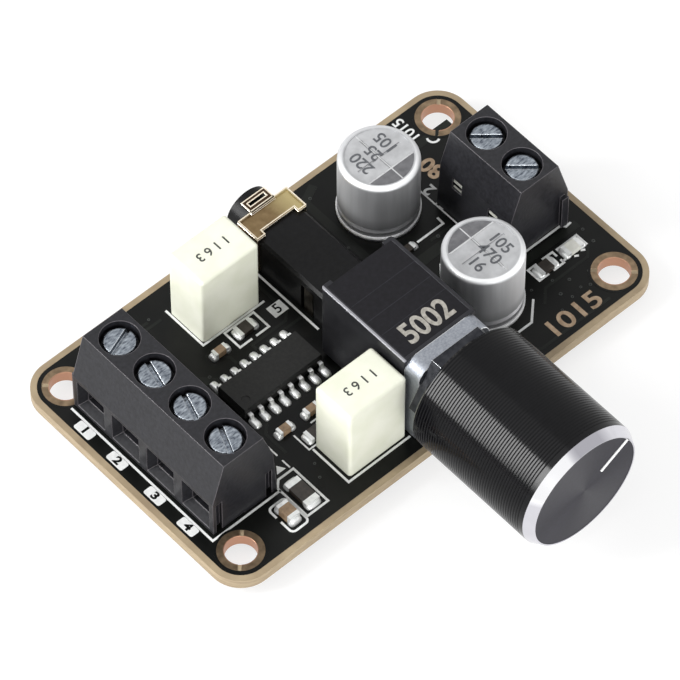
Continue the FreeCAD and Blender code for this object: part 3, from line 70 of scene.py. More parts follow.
def finish(name, dark, light, roughness, metallic=0.0, gloss=0.5, scale=600.0, stretch=(1, 1, 1),
           relief=0.0, spread=0.06, edge=0.0, edge_glint=None):
    """Surface whose colour drifts from dark to light, and its roughness by spread, with a grain.

    Scale and stretch set the grain. Relief is its depth and edge the radius that sharp edges look
    rounded to, both in mm. The colour given for the edges is painted on them as a highlight.
    """
    material = bpy.data.materials.new(name)
    material.use_nodes = True
    nodes, links = material.node_tree.nodes, material.node_tree.links
    shader = nodes["Principled BSDF"]
    shader.inputs["Metallic"].default_value = metallic
    shader.inputs["Specular IOR Level"].default_value = gloss
    place = nodes.new("ShaderNodeTexCoord")
    mapping = nodes.new("ShaderNodeMapping")
    mapping.inputs["Scale"].default_value = stretch
    links.new(place.outputs["Object"], mapping.inputs["Vector"])
    grain = nodes.new("ShaderNodeTexNoise")
    grain.inputs["Scale"].default_value = scale
    grain.inputs["Detail"].default_value = 4.0
    links.new(mapping.outputs["Vector"], grain.inputs["Vector"])
    colours = nodes.new("ShaderNodeValToRGB")
    darkest, lightest = colours.color_ramp.elements
    darkest.position = 0.3
    darkest.color = dark
    lightest.position = 0.7
    lightest.color = light
    links.new(grain.outputs["Fac"], colours.inputs["Fac"])
    links.new(colours.outputs["Color"], shader.inputs["Base Color"])
    rough = nodes.new("ShaderNodeMapRange")
    rough.inputs["To Min"].default_value = roughness - spread
    rough.inputs["To Max"].default_value = roughness + spread
    links.new(grain.outputs["Fac"], rough.inputs["Value"])
    links.new(rough.outputs["Result"], shader.inputs["Roughness"])
    bump = nodes.new("ShaderNodeBump")
    bump.inputs["Strength"].default_value = 1.0
    bump.inputs["Distance"].default_value = relief * MM
    links.new(grain.outputs["Fac"], bump.inputs["Height"])
    links.new(bump.outputs["Normal"], shader.inputs["Normal"])
    if edge:
        rounding = nodes.new("ShaderNodeBevel")
        rounding.samples = 8
        rounding.inputs["Radius"].default_value = edge * MM
        links.new(rounding.outputs["Normal"], bump.inputs["Normal"])
    # Rounded edges take a painted highlight colour.
    if edge_glint:
        rub(material, edge_glint)
    return material


def maths(owner, kind, operation, *given):
    """Result of a maths node of a kind, whose inputs are given as sockets or as values."""
    node = owner.node_tree.nodes.new("ShaderNode" + kind)
    node.operation = operation
    for socket, value in zip(node.inputs, given):
        if isinstance(value, bpy.types.NodeSocket):
            owner.node_tree.links.new(value, socket)
        else:
            socket.default_value = value
    is_vector = kind == "VectorMath" and operation not in ("DOT_PRODUCT", "LENGTH")
    return node.outputs["Vector" if is_vector else "Value"]


def growth(material, measure, start, full):
    """Amount that grows from 0 to 1 as a measure goes from start to full."""
    grown = material.node_tree.nodes.new("ShaderNodeMapRange")
    grown.inputs["From Min"].default_value = start
    grown.inputs["From Max"].default_value = full
    material.node_tree.links.new(measure, grown.inputs["Value"])
    return grown.outputs["Result"]


def tint(material, amount, colour):
    """Lays a colour over a finish by the amount that a socket gives."""
    links = material.node_tree.links
    base = material.node_tree.nodes["Principled BSDF"].inputs["Base Color"]
    mix = material.node_tree.nodes.new("ShaderNodeMix")
    mix.data_type = "RGBA"
    mix.inputs[7].default_value = colour
    links.new(amount, mix.inputs[0])
    links.new(base.links[0].from_socket, mix.inputs[6])
    links.new(mix.outputs[2], base)


def rub(material, colour):
    """Paints a highlight colour on the edges that a finish rounds."""
    face = material.node_tree.nodes.new("ShaderNodeNewGeometry")
    rounded_way = material.node_tree.nodes["Bevel"].outputs["Normal"]
    lean = maths(material, "VectorMath", "DOT_PRODUCT", rounded_way, face.outputs["True Normal"])
    flat_lean, glint_lean = 0.98, 0.8
    tint(material, growth(material, lean, flat_lean, glint_lean), colour)


def dress(material, *names):
    """Gives CAD nodes one material."""
    for name in names:
        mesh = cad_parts[name].data
        mesh.materials.clear()
        mesh.materials.append(material)


def put(name, data):
    """New object that holds some data, put in the scene."""
    held = bpy.data.objects.new(name, data)
    bpy.context.scene.collection.objects.link(held)
    return held


def piece(name, mesh, material, body):
    """Shows a mesh, given in mm, as one object that rides on a body."""
    mesh.transform(Matrix.Scale(MM, 4))
    mesh.name = name
    mesh.materials.clear()
    mesh.materials.append(material)
    shown = put(name, mesh)
    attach(shown, body)
    return shown


def extent(node):
    """Lowest and highest corner of a CAD node, in mm."""
    return [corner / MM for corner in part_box(node)]


def gather(parts):
    """One mesh of many (vertices, faces) parts."""
    vertices, faces = [], []
    for some, sides in parts:
        first = len(vertices)
        vertices += some
        faces += [tuple(first + index for index in side) for side in sides]
    mesh = bpy.data.meshes.new("parts")
    mesh.from_pydata(vertices, [], faces)
    mesh.update()
    return mesh


def arc(centre, radius, start, end, steps):
    """Points of an arc, with its angles in degrees."""
    angles = [math.radians(start + (end - start) * step / steps) for step in range(steps + 1)]
    return [(centre[0] + radius * math.cos(a), centre[1] + radius * math.sin(a)) for a in angles]


def circle(centre, radius, count):
    """Points of a whole circle."""
    return arc(centre, radius, 0, 360 - 360 / count, count - 1)


def rounded(low, high, radius, steps):
    """Anticlockwise rectangle with round corners."""
    points = []
    turns = ((high[0], low[1], -90), (high[0], high[1], 0), (low[0], high[1], 90), (low[0], low[1], 180))
    for x, y, start in turns:
        centre = (x - radius if x == high[0] else x + radius, y - radius if y == high[1] else y + radius)
        points += arc(centre, radius, start, start + 90, steps)
    return points


def weld(mesh):
    """Merges a mesh's doubles and turns its faces outwards."""
    welded = bmesh.new()
    welded.from_mesh(mesh)
    bmesh.ops.remove_doubles(welded, verts=welded.verts, dist=1e-4)
    bmesh.ops.recalc_face_normals(welded, faces=welded.faces)
    welded.to_mesh(mesh)
    welded.free()


def plain_mesh(carrier):
    """Plain mesh of an evaluated object, which is then taken away."""
    bpy.context.view_layer.update()
    mesh = bpy.data.meshes.new_from_object(carrier.evaluated_get(bpy.context.evaluated_depsgraph_get()))
    carrier.modifiers.clear()
    bpy.data.objects.remove(carrier)
    return mesh


def settled(curve, place):
    """Welded mesh of a filled curve or text, put in place."""
    mesh = plain_mesh(put("carrier", curve))
    bpy.data.curves.remove(curve)
    weld(mesh)
    mesh.transform(place)
    return mesh


def sheet(loops, low, high):
    """Closed plate between two heights whose inner loops are holes."""
    curve = bpy.data.curves.new("sheet", "CURVE")
    curve.dimensions = "2D"
    curve.fill_mode = "BOTH"
    curve.extrude = (high - low) / 2
    for loop in loops:
        spline = curve.splines.new("POLY")
        spline.points.add(len(loop) - 1)
        for point, (x, y) in zip(spline.points, loop):
            point.co = (x, y, 0, 1)
        spline.use_cyclic_u = True
    return settled(curve, Matrix.Translation((0, 0, (low + high) / 2)))


laminate = finish("laminate", tone(154, 136, 110), tone(176, 158, 129), 0.6, scale=420, stretch=(1, 1, 9),
                  relief=0.01)
dress(laminate, "circuit_board")

board_low, board_high = extent("circuit_board")
ring_high = extent("fixing_hole_rings")[1]
top = board_high.z
fixing_inset = 3.4
fixing_x, fixing_y = board_high.x - fixing_inset, board_high.y - fixing_inset
fixing_centres = [(x, y) for x in (-fixing_x, fixing_x) for y in (-fixing_y, fixing_y)]
ring_radius = ring_high.x - fixing_x
ring_points = 48

mask_inset = 0.65
mask_corner = 2.75
mask_thickness = 0.03
mask_gap = 0.08
mask_face = top + mask_thickness
mask_low = (board_low.x + mask_inset, board_low.y + mask_inset)
mask_high = (board_high.x - mask_inset, board_high.y - mask_inset)
mask_loops = [rounded(mask_low, mask_high, mask_corner, 10)]
mask_loops += [circle(centre, ring_radius + mask_gap, ring_points) for centre in fixing_centres]
mask = finish("black_mask", tone(11, 12, 12), tone(19, 20, 18), 0.3, gloss=0.16, scale=260, relief=0.006)
piece("mask_top", sheet(mask_loops, top, mask_face), mask, "board")
piece("mask_bottom", sheet(mask_loops, -mask_thickness, 0), mask, "board")


def stroke(path, width, low, high, closed=False):
    """Closed ribbon of one width along a path, mitred at its corners."""
    sharpest_mitre = 0.4
    count = len(path)
    vertices, faces = [], []
    for index, point in enumerate(path):
        steps = []
        if index or closed:
            steps.append((Vector(point) - Vector(path[index - 1])).normalized())
        if index < count - 1 or closed:
            steps.append((Vector(path[(index + 1) % count]) - Vector(point)).normalized())
        along = sum(steps, Vector((0, 0))).normalized()
        across = Vector((-along.y, along.x)) * width / 2 / max(along.dot(steps[0]), sharpest_mitre)
        for side in (1, -1):
            x, y = Vector(point) + across * side
            vertices += [(x, y, low), (x, y, high)]
    for index in range(count if closed else count - 1):
        a, b = 4 * index, 4 * ((index + 1) % count)
        faces += [(a, a + 2, b + 2, b), (a + 1, b + 1, b + 3, a + 3)]
        faces += [(a, b, b + 1, a + 1), (a + 2, a + 3, b + 3, b + 2)]
    if not closed:
        end = 4 * (count - 1)
        faces += [(0, 1, 3, 2), (end, end + 2, end + 3, end + 1)]
    return vertices, faces


signal_run, supply_run, ground_run = 0.3, 0.9, 1.2
run_height = 0.015
run_paths = (
    (supply_run, [(-12.9, 3.2), (-14.6, 4.9), (-14.6, 13.4)]),
    (signal_run, [(-10.2, 3.6), (-10.2, 4.6), (-11.9, 6.3)]),
    (signal_run, [(-7.7, 3.6), (-7.7, 4.3), (-3.4, 4.3), (-2.6, 5.1), (-2.6, 9.8)]),
    (signal_run, [(-6.4, 3.6), (-2.0, 3.6)]),
    (signal_run, [(-12.7, -3.4), (-13.6, -4.3), (-13.6, -7.2)]),
    (signal_run, [(-5.1, -3.4), (-3.9, -4.6), (-2.7, -4.6)]),
    (ground_run, [(8.0, 2.2), (9.4, 0.8), (16.0, 0.8)]),
    (signal_run, [(13.4, 2.0), (16.2, 2.0)]),
    (supply_run, [(17.6, -6.0), (25.4, -6.0)]),
    (signal_run, [(16.4, -11.0), (17.8, -9.6), (23.4, -9.6), (24.6, -8.4)]),
    (signal_run, [(9.4, -12.2), (12.6, -14.6), (21.6, -14.6)]),
    (supply_run, [(7.4, 4.2), (7.4, 13.6), (9.4, 14.6)]),
    (signal_run, [(-16.6, 13.0), (-13.4, 13.0)]),
    (signal_run, [(-19.6, 12.4), (-12.2, 12.4)]),
    (signal_run, [(-17.6, -8.2), (-16.2, -6.8), (-16.2, -2.0), (-15.0, -0.8), (-15.0, 3.4)]),
    (supply_run, [(18.0, 11.4), (24.6, 11.4)]),
)
raised_mask = finish("raised_mask", tone(24, 26, 24), tone(34, 36, 33), 0.3, gloss=0.16, scale=260,
                     relief=0.006)
copper_runs = gather([stroke(path, width, mask_face, mask_face + run_height) for width, path in run_paths])
piece("copper_runs", copper_runs, raised_mask, "board")


def start_tree(name, inputs):
    """Node tree with named inputs and its end: the tree, its input node and the socket to end in."""
    tree = bpy.data.node_groups.new(name, "GeometryNodeTree")
    for label, kind in (*inputs, ("Material", "Material")):
        tree.interface.new_socket(label, in_out="INPUT", socket_type="NodeSocket" + kind)
    tree.interface.new_socket("Made", in_out="OUTPUT", socket_type="NodeSocketGeometry")
    given = tree.nodes.new("NodeGroupInput")
    realized = tree.nodes.new("GeometryNodeRealizeInstances")
    painted = tree.nodes.new("GeometryNodeSetMaterial")
    result = tree.nodes.new("NodeGroupOutput")
    tree.links.new(realized.outputs["Geometry"], painted.inputs["Geometry"])
    tree.links.new(given.outputs["Material"], painted.inputs["Material"])
    tree.links.new(painted.outputs["Geometry"], result.inputs["Made"])
    return tree, given, realized.inputs["Geometry"]


def run_tree(tree, source, **settings):
    """Plain mesh that a node tree makes of a source mesh, with its inputs set by name."""
    carrier = put("carrier", source)
    modifier = carrier.modifiers.new(tree.name, "NODES")
    modifier.node_group = tree
    for item in tree.interface.items_tree:
        if item.name in settings:
            modifier[item.identifier] = settings[item.name]
    return plain_mesh(carrier)


def repeat(name, places, shape, material, body, spread=0.0):
    """Copies of a shape at places (x, y, z, size), each smaller by a random share of up to spread."""
    inputs = (("Places", "Geometry"), ("Shape", "Object"), ("Spread", "Float"))
    tree, given, made = start_tree(name, inputs)
    nodes, links = tree.nodes, tree.links
    shape_of = nodes.new("GeometryNodeObjectInfo")
    links.new(given.outputs["Shape"], shape_of.inputs["Object"])
    smallest = nodes.new("ShaderNodeMath")
    smallest.operation = "SUBTRACT"
    smallest.inputs[0].default_value = 1.0
    links.new(given.outputs["Spread"], smallest.inputs[1])
    share = nodes.new("FunctionNodeRandomValue")
    share.inputs[3].default_value = 1.0
    share.inputs["Seed"].default_value = 7
    links.new(smallest.outputs[0], share.inputs[2])
    own_size = nodes.new("GeometryNodeInputNamedAttribute")
    own_size.data_type = "FLOAT"
    own_size.inputs["Name"].default_value = "size"
    scale = nodes.new("ShaderNodeMath")
    scale.operation = "MULTIPLY"
    links.new(share.outputs[1], scale.inputs[0])
    links.new(own_size.outputs["Attribute"], scale.inputs[1])
    copies = nodes.new("GeometryNodeInstanceOnPoints")
    links.new(given.outputs["Places"], copies.inputs["Points"])
    links.new(shape_of.outputs["Geometry"], copies.inputs["Instance"])
    links.new(scale.outputs[0], copies.inputs["Scale"])
    links.new(copies.outputs["Instances"], made)
    points = bpy.data.meshes.new("places")
    points.from_pydata([place[:3] for place in places], [], [])
    points.attributes.new("size", "FLOAT", "POINT")
    for size, place in zip(points.attributes["size"].data, places):
        size.value = place[3]
    pattern = put("pattern", shape)
    mesh = run_tree(tree, points, Shape=pattern, Spread=spread, Material=material)
    bpy.data.objects.remove(pattern)
    return piece(name, mesh, material, body)


via_radius, via_bore, via_height = 0.2, 0.09, 0.025
via_places = (
    (8.6, -11.6), (9.9, -12.8), (11.4, -13.9), (19.4, -2.2), (20.9, -2.9), (22.4, -3.4), (23.6, 1.1),
    (16.9, -4.2), (17.4, -6.1), (14.3, 1.9), (17.2, 2.3), (6.6, 11.8), (8.1, 13.6), (-13.1, 13.2),
    (-14.6, 12.1), (-13.2, 4.2), (-13.9, 2.4), (-14.1, -1.2), (-14.2, -4.4), (-12.4, -9.9),
    (-13.1, -11.4), (-2.6, -13.6), (24.6, -3.6), (25.1, -8.6), (20.2, -10.4), (22.3, -10.9),
    (-16.9, 13.4), (-19.6, 13.6), (15.8, 13.7), (18.4, -11.1), (16.6, 10.6), (6.9, 6.7), (-2.9, -10.9),
    (19.0, -12.1), (20.4, -11.8), (17.2, -12.6), (25.3, -6.9), (18.9, -9.4), (21.3, -12.2),
    (16.6, -8.9), (22.9, -1.9), (17.9, -3.1),
)
via = sheet([circle((0, 0), via_radius, 16), circle((0, 0), via_bore, 16)], 0, via_height)
via_mask = finish("via_mask", tone(48, 50, 49), tone(72, 75, 73), 0.35, gloss=0.2, scale=2600, relief=0.01)
repeat("vias", [(x, y, mask_face, 1) for x, y in via_places], via, via_mask, "board", 0.3)

# Fixing rings and solder. Plated copper rings slit on the diagonal, and under the board a cone
# of solder round every lead, on its own tinned pad.

bore_radius = 1.6
bore_bevel = 0.12


def distance_from(material, place, x, y):
    """Distance of a place from an upright line at a point in mm."""
    offset = maths(material, "VectorMath", "SUBTRACT", place, (x * MM, y * MM, 0))
    level = maths(material, "VectorMath", "MULTIPLY", offset, (1, 1, 0))
    return maths(material, "VectorMath", "LENGTH", level)


# The ring's rounded edges take a painted highlight colour.
copper = finish("ring_copper", tone(112, 96, 78), tone(146, 126, 102), 0.4, metallic=1.0, scale=1500,
                relief=0.008, edge=0.08, edge_glint=tone(192, 172, 146))
copper_place = copper.node_tree.nodes["Texture Coordinate"].outputs["Object"]
quarter_place = maths(copper, "VectorMath", "ABSOLUTE", copper_place)
from_hole = distance_from(copper, quarter_place, fixing_x, fixing_y)
bore = growth(copper, from_hole, (bore_radius + bore_bevel) * MM, bore_radius * MM)
tint(copper, bore, tone(192, 146, 120))
dress(copper, "fixing_hole_rings")


def merged(meshes):
    """One mesh of many."""
    whole = bmesh.new()
    for mesh in meshes:
        whole.from_mesh(mesh)
        bpy.data.meshes.remove(mesh)
    mesh = bpy.data.meshes.new("merged")
    whole.to_mesh(mesh)
    whole.free()
    return mesh


seen_ring = 2.31
lip_overlap = 0.1
lip_top = ring_high.z + 0.012
mask_lips = []
for centre in fixing_centres:
    lip_loops = [circle(centre, radius, ring_points) for radius in (ring_radius + lip_overlap, seen_ring)]
    mask_lips.append(sheet(lip_loops, top, lip_top))
piece("mask_lips", merged(mask_lips), mask, "board")


def islands(node):
    """Lowest and highest corner, in mm, of each separate solid of a CAD node, in order along X."""
    welded = bmesh.new()
    welded.from_mesh(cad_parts[node].data)
    bmesh.ops.remove_doubles(welded, verts=welded.verts, dist=1e-7)
    waiting = set(welded.verts)
    found = []
    while waiting:
        front = [waiting.pop()]
        points = []
        while front:
            vertex = front.pop()
            points.append(vertex.co / MM)
            for edge in vertex.link_edges:
                other = edge.other_vert(vertex)
                if other in waiting:
                    waiting.discard(other)
                    front.append(other)
        low = Vector(min(point[axis] for point in points) for axis in range(3))
        high = Vector(max(point[axis] for point in points) for axis in range(3))
        found.append((low, high))
    welded.free()
    return sorted(found, key=lambda solid: tuple(solid[0]))


solder = finish("solder", tone(222, 224, 223), tone(246, 247, 246), 0.34, metallic=0.55, scale=1800,
                relief=0.03, spread=0.1)
dress(solder, "solder_joints")
pad_skirt = 0.28
pad_outer, pad_bore = 1.0, 0.6
pad_thickness = 0.03
pad_loops = [circle((0, 0), radius, 24) for radius in (pad_outer, pad_bore)]
pad = sheet(pad_loops, -mask_thickness - pad_thickness, -mask_thickness)
pad_places = []
for low, high in islands("solder_joints"):
    centre = (low + high) / 2
    pad_places.append((centre.x, centre.y, 0, (high.x - low.x) / 2 + pad_skirt))
repeat("solder_pads", pad_places, pad, solder, "board")

# Silk print. White ink lines, boxes and figures screened on the mask, black figures on the white
# labels, and gilt marks where the plated copper is left bare.

ink_thickness = 0.02
ink_top = mask_face + ink_thickness
ink_middle = mask_face + ink_thickness / 2


def prism(outline, low, high):
    """Closed prism over a 2D outline that runs anticlockwise."""
    count = len(outline)
    vertices = [(x, y, low) for x, y in outline] + [(x, y, high) for x, y in outline]
    faces = [tuple(range(count - 1, -1, -1)), tuple(range(count, 2 * count))]
    for index in range(count):
        after = (index + 1) % count
        faces.append((index, after, count + after, count + index))
    return vertices, faces


def figures(text, height, place, thickness=ink_thickness, bold=0.0, widen=1.0, spacing=1.0):
    """Closed mesh of figures of one height, centred on the origin before they are placed."""
    figure_share = 0.7
    curve = bpy.data.curves.new("figures", "FONT")
    curve.body = text
    curve.size = height / figure_share
    curve.align_x = "CENTER"
    curve.align_y = "CENTER"
    curve.extrude = thickness / 2
    curve.offset = bold
    curve.space_character = spacing
    return settled(curve, place @ Matrix.Diagonal((widen, 1, 1, 1)))


def corners(low, high):
    """Corners of a rectangle, anticlockwise."""
    return [low, (high[0], low[1]), high, (low[0], high[1])]


def laid(x, y, z, turn=0):
    """Place of flat print: its middle, and its turn about Z in degrees."""
    return Matrix.Translation((x, y, z)) @ Matrix.Rotation(math.radians(turn), 4, "Z")


silk = finish("silk_ink", tone(226, 227, 226), tone(242, 243, 242), 0.6, scale=3000, relief=0.01)
fine_line, plain_line = 0.17, 0.24
box_low, box_high = (-19.2, -14.4), (-17.1, -10.9)
box_corner_steps = 4
box_gap = (-12.75, -12.15)
box = rounded(box_low, box_high, 0.45, box_corner_steps)
last_corner = len(box) - box_corner_steps - 1
open_box = [(box_low[0], box_gap[0])] + box[last_corner:] + box[:last_corner] + [(box_low[0], box_gap[1])]
silk_paths = (
    (plain_line, [(-11.2, 12.9), (-11.2, 7.4), (-3.4, 7.4)]),
    (plain_line, [(-11.45, -8.6), (-11.45, -13.65), (-3.6, -13.65)]),
    (plain_line, [(-1.75, 10.4), (-1.75, 1.4)]),
    (plain_line, [(-7.2, 4.85), (-8.75, 4.85), (-8.75, 7.1), (-5.05, 7.1), (-5.05, 4.85), (-6.7, 4.85)]),
    (fine_line, [(-11.75, -6.2), (-11.75, -8.4), (-8.1, -8.4), (-8.1, -6.2), (-9.6, -6.2)]),
    (plain_line, [
        (-16.9, -9.7), (-16.9, -13.9), (-14.3, -13.9), (-14.3, -9.0), (-16.2, -9.0), (-16.9, -9.7),
    ]),
    (fine_line, [(-14.45, -2.0), (-14.45, -6.9)]),
    (fine_line, [(-14.45, -7.6), (-14.45, -8.7)]),
    (plain_line, [(-25.35, 10.3), (-25.35, -10.05), (-16.8, -10.05)]),
    (plain_line, [(12.3, 2.7), (15.7, 2.7), (15.75, 3.6)]),
    (fine_line, [(11.1, -2.0), (12.2, -0.7)]),
    (fine_line, [(16.7, 10.0), (16.7, -0.6)]),
    (plain_line, [(16.7, -5.15), (24.0, -5.15), (24.3, -5.6), (25.0, -5.5)]),
    (plain_line, [(19.1, -6.95), (17.95, -6.95), (17.95, -8.6), (19.2, -8.6)]),
    (plain_line, [(19.85, -6.9), (21.2, -6.95), (21.2, -7.6)]),
    (plain_line, [(19.8, -8.6), (21.2, -8.6), (21.2, -8.1)]),
    (plain_line, [(21.75, -8.45), (21.75, -7.0), (24.35, -7.0), (24.35, -8.4), (23.5, -8.4)]),
    (plain_line, [(21.2, -8.4), (22.6, -8.4)]),
    (plain_line, [(22.45, -8.7), (22.85, -8.95)]),
    (plain_line, [(23.4, -8.6), (23.8, -8.85)]),
    (plain_line, [(12.2, -11.7), (14.0, -11.7), (16.0, -9.8)]),
    (plain_line, arc((22.1, 11.1), 0.62, 150, 300, 8)),
    (plain_line, open_box),
)
arrow = [(-15.9, -8.5), (-14.8, -8.5), (-15.3, -7.7)]
figure_plate = corners((-3.9, 5.15), (-2.2, 6.6))
label_left, label_right, half_label, label_corner = -26.6, -25.5, 1.12, 0.22
label_places = (7.5, 2.8, -2.6, -7.3)
filled = [arrow]
for y in label_places:
    filled.append(rounded((label_left, y - half_label), (label_right, y + half_label), label_corner, 4))
filled.append(figure_plate)
lines = [stroke(path, width, mask_face, ink_top) for width, path in silk_paths]
lines += [prism(outline, mask_face, ink_top) for outline in filled]
piece("silk_lines", gather(lines), silk, "board")
silk_figures = [
    figures("1015", 1.15, laid(20.8, 13.5, ink_middle, 90), bold=0.03),
    figures("12", 0.9, laid(17.2, 4.6, ink_middle, -90), bold=0.02),
    figures("2", 1.3, laid(17.5, 6.6, ink_middle, 90), bold=0.04),
    figures("7", 0.9, laid(24.9, -4.2, ink_middle), bold=0.02),
]
piece("silk_figures", merged(silk_figures), silk, "board")
label_film = 0.01
label_middle = ink_top + label_film / 2
label_figures = []
for number, y in enumerate(label_places, start=1):
    place = laid(-26.05, y, label_middle, -90)
    label_figures.append(figures(str(number), 0.82, place, label_film, bold=0.05, widen=1.25))
label_figures.append(figures("5", 1.1, laid(-3.05, 5.875, label_middle), label_film, bold=0.02))
piece("label_figures", merged(label_figures), mask, "board")
gilt_ink = finish("gilt_marks", tone(134, 114, 94), tone(172, 152, 130), 0.38, metallic=1.0, scale=1800,
                  relief=0.01)
gilt_figures = [
    figures("80", 1.75, laid(19.5, 8.4, ink_middle, 96), bold=0.08),
    figures("1015", 1.95, laid(17.6, -13.75, ink_middle), bold=0.05, widen=1.25),
]
piece("gilt_figures", merged(gilt_figures), gilt_ink, "board")

# Screw terminals. Two moulded blocks; in each pole a screw draws a plated cage up against a
# fixed contact. Strips flush with the slot in each block's rear wall are a painted lit copy of the
# tin, a painted highlight standing in for the contact that sits back in shade there.

# The blocks, contacts and screws have their rounded edges painted light as a highlight.
terminal_plastic = finish("terminal_plastic", tone(27, 27, 30), tone(40, 40, 44), 0.36, gloss=0.3,
                          scale=2500, relief=0.016, edge=0.14, edge_glint=tone(112, 108, 112))
dress(terminal_plastic, "speaker_terminal_housing", "power_terminal_housing")
tinned = finish("tinned_metal", tone(176, 176, 174), tone(220, 220, 217), 0.3, metallic=1.0, scale=1800,
                relief=0.01, edge=0.05, edge_glint=tone(240, 240, 238))
dress(tinned, "speaker_terminal_contacts", "power_terminal_contacts")
screw_steel = finish("screw_steel", tone(72, 78, 90), tone(172, 180, 188), 0.3, metallic=1.0, scale=1500,
                     stretch=(1, 3, 1), relief=0.05, edge=0.2, spread=0.12, edge_glint=tone(226, 232, 238))
# Painted lit copy of tin for the strips in the rear slots, brighter than the contacts' own tin.
painted_lit_tin = finish("painted_lit_tin", tone(226, 226, 214), tone(246, 246, 236), 0.4, metallic=0.3, scale=1800,
                    relief=0.01)
slot_face = 17.4
half_slot = 0.65
strip_thickness = 0.06
strip_heights = ((5.12, 5.5), (6.02, 6.38))
strips = []
for block, poles, side in (("power", 2, 1), ("speaker", 4, -1)):
    near, far = sorted((side * slot_face, side * (slot_face + strip_thickness)))
    for number in range(1, poles + 1):
        dress(tinned, f"{block}_clamp_cage_{number}")
        dress(screw_steel, f"{block}_clamp_screw_{number}")
        cage_low, cage_high = extent(f"{block}_clamp_cage_{number}")
        y = (cage_low.y + cage_high.y) / 2
        for low, high in strip_heights:
            strips.append(prism(corners((near, y - half_slot), (far, y + half_slot)), low, high))
piece("slot_contact_strips", gather(strips), painted_lit_tin, "board")

# Amplifier chip. A black moulded body between two rows of eight gull-wing leads. Each lead's
# foot sits in a small mound of solder on its pad.

chip_plastic = finish("chip_plastic", tone(26, 26, 26), tone(36, 36, 35), 0.5, gloss=0.25, scale=3500,
                      relief=0.02, edge=0.05)
dress(chip_plastic, "amplifier_chip")
lead_tin = finish("lead_tin", tone(214, 215, 214), tone(244, 245, 244), 0.34, metallic=0.6, scale=1800,
                  relief=0.01, edge=0.06)
dress(lead_tin, "amplifier_chip_leads")


def mound(half_x, half_y, height, rings=4, steps=20):
    """Closed rounded heap of solder, centred on the origin, on a base with round corners."""
    squareness = 0.6
    vertices, faces = [], []
    for ring in range(rings):
        rise = math.sin(math.pi / 2 * ring / rings)
        draw = math.cos(math.pi / 2 * ring / rings) ** squareness
        for step in range(steps):
            angle = math.tau * step / steps
            across, along = math.cos(angle), math.sin(angle)
            x = math.copysign(abs(across) ** squareness, across) * half_x * draw
            y = math.copysign(abs(along) ** squareness, along) * half_y * draw
            vertices.append((x, y, rise * height))
    vertices.append((0, 0, height))
    for ring in range(rings - 1):
        for step in range(steps):
            a, b = ring * steps + step, ring * steps + (step + 1) % steps
            faces.append((a, b, b + steps, a + steps))
    last = (rings - 1) * steps
    faces += [(last + step, last + (step + 1) % steps, rings * steps) for step in range(steps)]
    faces.append(tuple(range(steps - 1, -1, -1)))
    return vertices, faces


chip_low, chip_high = extent("amplifier_chip")
chip_middle = (chip_low.y + chip_high.y) / 2
half_foot = 0.25
half_mound_x, half_mound_y, mound_height = 0.45, 0.76, 0.4
foot_places = []
for low, high in islands("amplifier_chip_leads"):
    outer = high.y - half_foot if (low.y + high.y) / 2 > chip_middle else low.y + half_foot
    foot_places.append(((low.x + high.x) / 2, outer, mask_face, 1))
foot_solder = gather([mound(half_mound_x, half_mound_y, mound_height)])
foot_solder.shade_smooth()
repeat("chip_lead_solder", foot_places, foot_solder, solder, "board", 0.12)

# Film capacitors. Cream moulded boxes on two tinned wires, with figures printed on top in
# black.

film_case = finish("film_case", tone(238, 240, 220), tone(247, 248, 232), 0.42, gloss=0.4, scale=420,
                   relief=0.008, edge=0.3)
black_print = finish("black_print", tone(40, 42, 40), tone(74, 76, 72), 0.6, scale=5000, relief=0.01)
print_thickness = 0.03
print_sink = 0.01
print_shift = 0.1
for name in ("rear", "front"):
    dress(film_case, f"film_capacitor_{name}_case")
    dress(tinned, f"film_capacitor_{name}_leads")
    low, high = extent(f"film_capacitor_{name}_case")
    middle = (low + high) / 2
    place = laid(middle.x, middle.y + print_shift, high.z + print_thickness / 2 - print_sink, 180)
    print_mesh = figures("1163", 1.0, place, thickness=print_thickness, bold=0.012, spacing=1.5)
    piece(f"film_print_{name}", print_mesh, black_print, "board")

# Electrolytic capacitors. Drawn aluminium cans with a scored top, a grey printed segment and
# dark figures, crimped on a rubber bung over a foot ring painted near white as if lit. The rims
# carry a painted highlight, the front can a painted lit side, and both cans painted shade towards
# their foot.

# Reaches of the painted highlights on rim and side, and of the painted shade at the foot.
rim_radii = (3.5, 3.62)
rim_reach, wall_reach, foot_shade_reach = (-0.36, -0.16), (-0.15, -0.5), (4.4, 2.2)
can_lit_reach_x = (-1.2, 2.6)
near_reach_x, near_reach_y = (3.6, 1.6), (3.0, 0.0)
foot_ring_outer, foot_ring_inner, foot_ring_top = 4.2, 3.6, 1.75


def band(material, axis, origin, reach):
    """Amount that grows from 0 to 1 over a reach, two distances in mm from an origin on an axis."""
    nodes, links = material.node_tree.nodes, material.node_tree.links
    split = nodes.new("ShaderNodeSeparateXYZ")
    links.new(nodes["Texture Coordinate"].outputs["Object"], split.inputs[0])
    start, full = reach
    return growth(material, split.outputs[axis], (origin + start) * MM, (origin + full) * MM)


def both(material, first, second):
    """Amount of a place where two amounts meet."""
    return maths(material, "Math", "MULTIPLY", first, second)


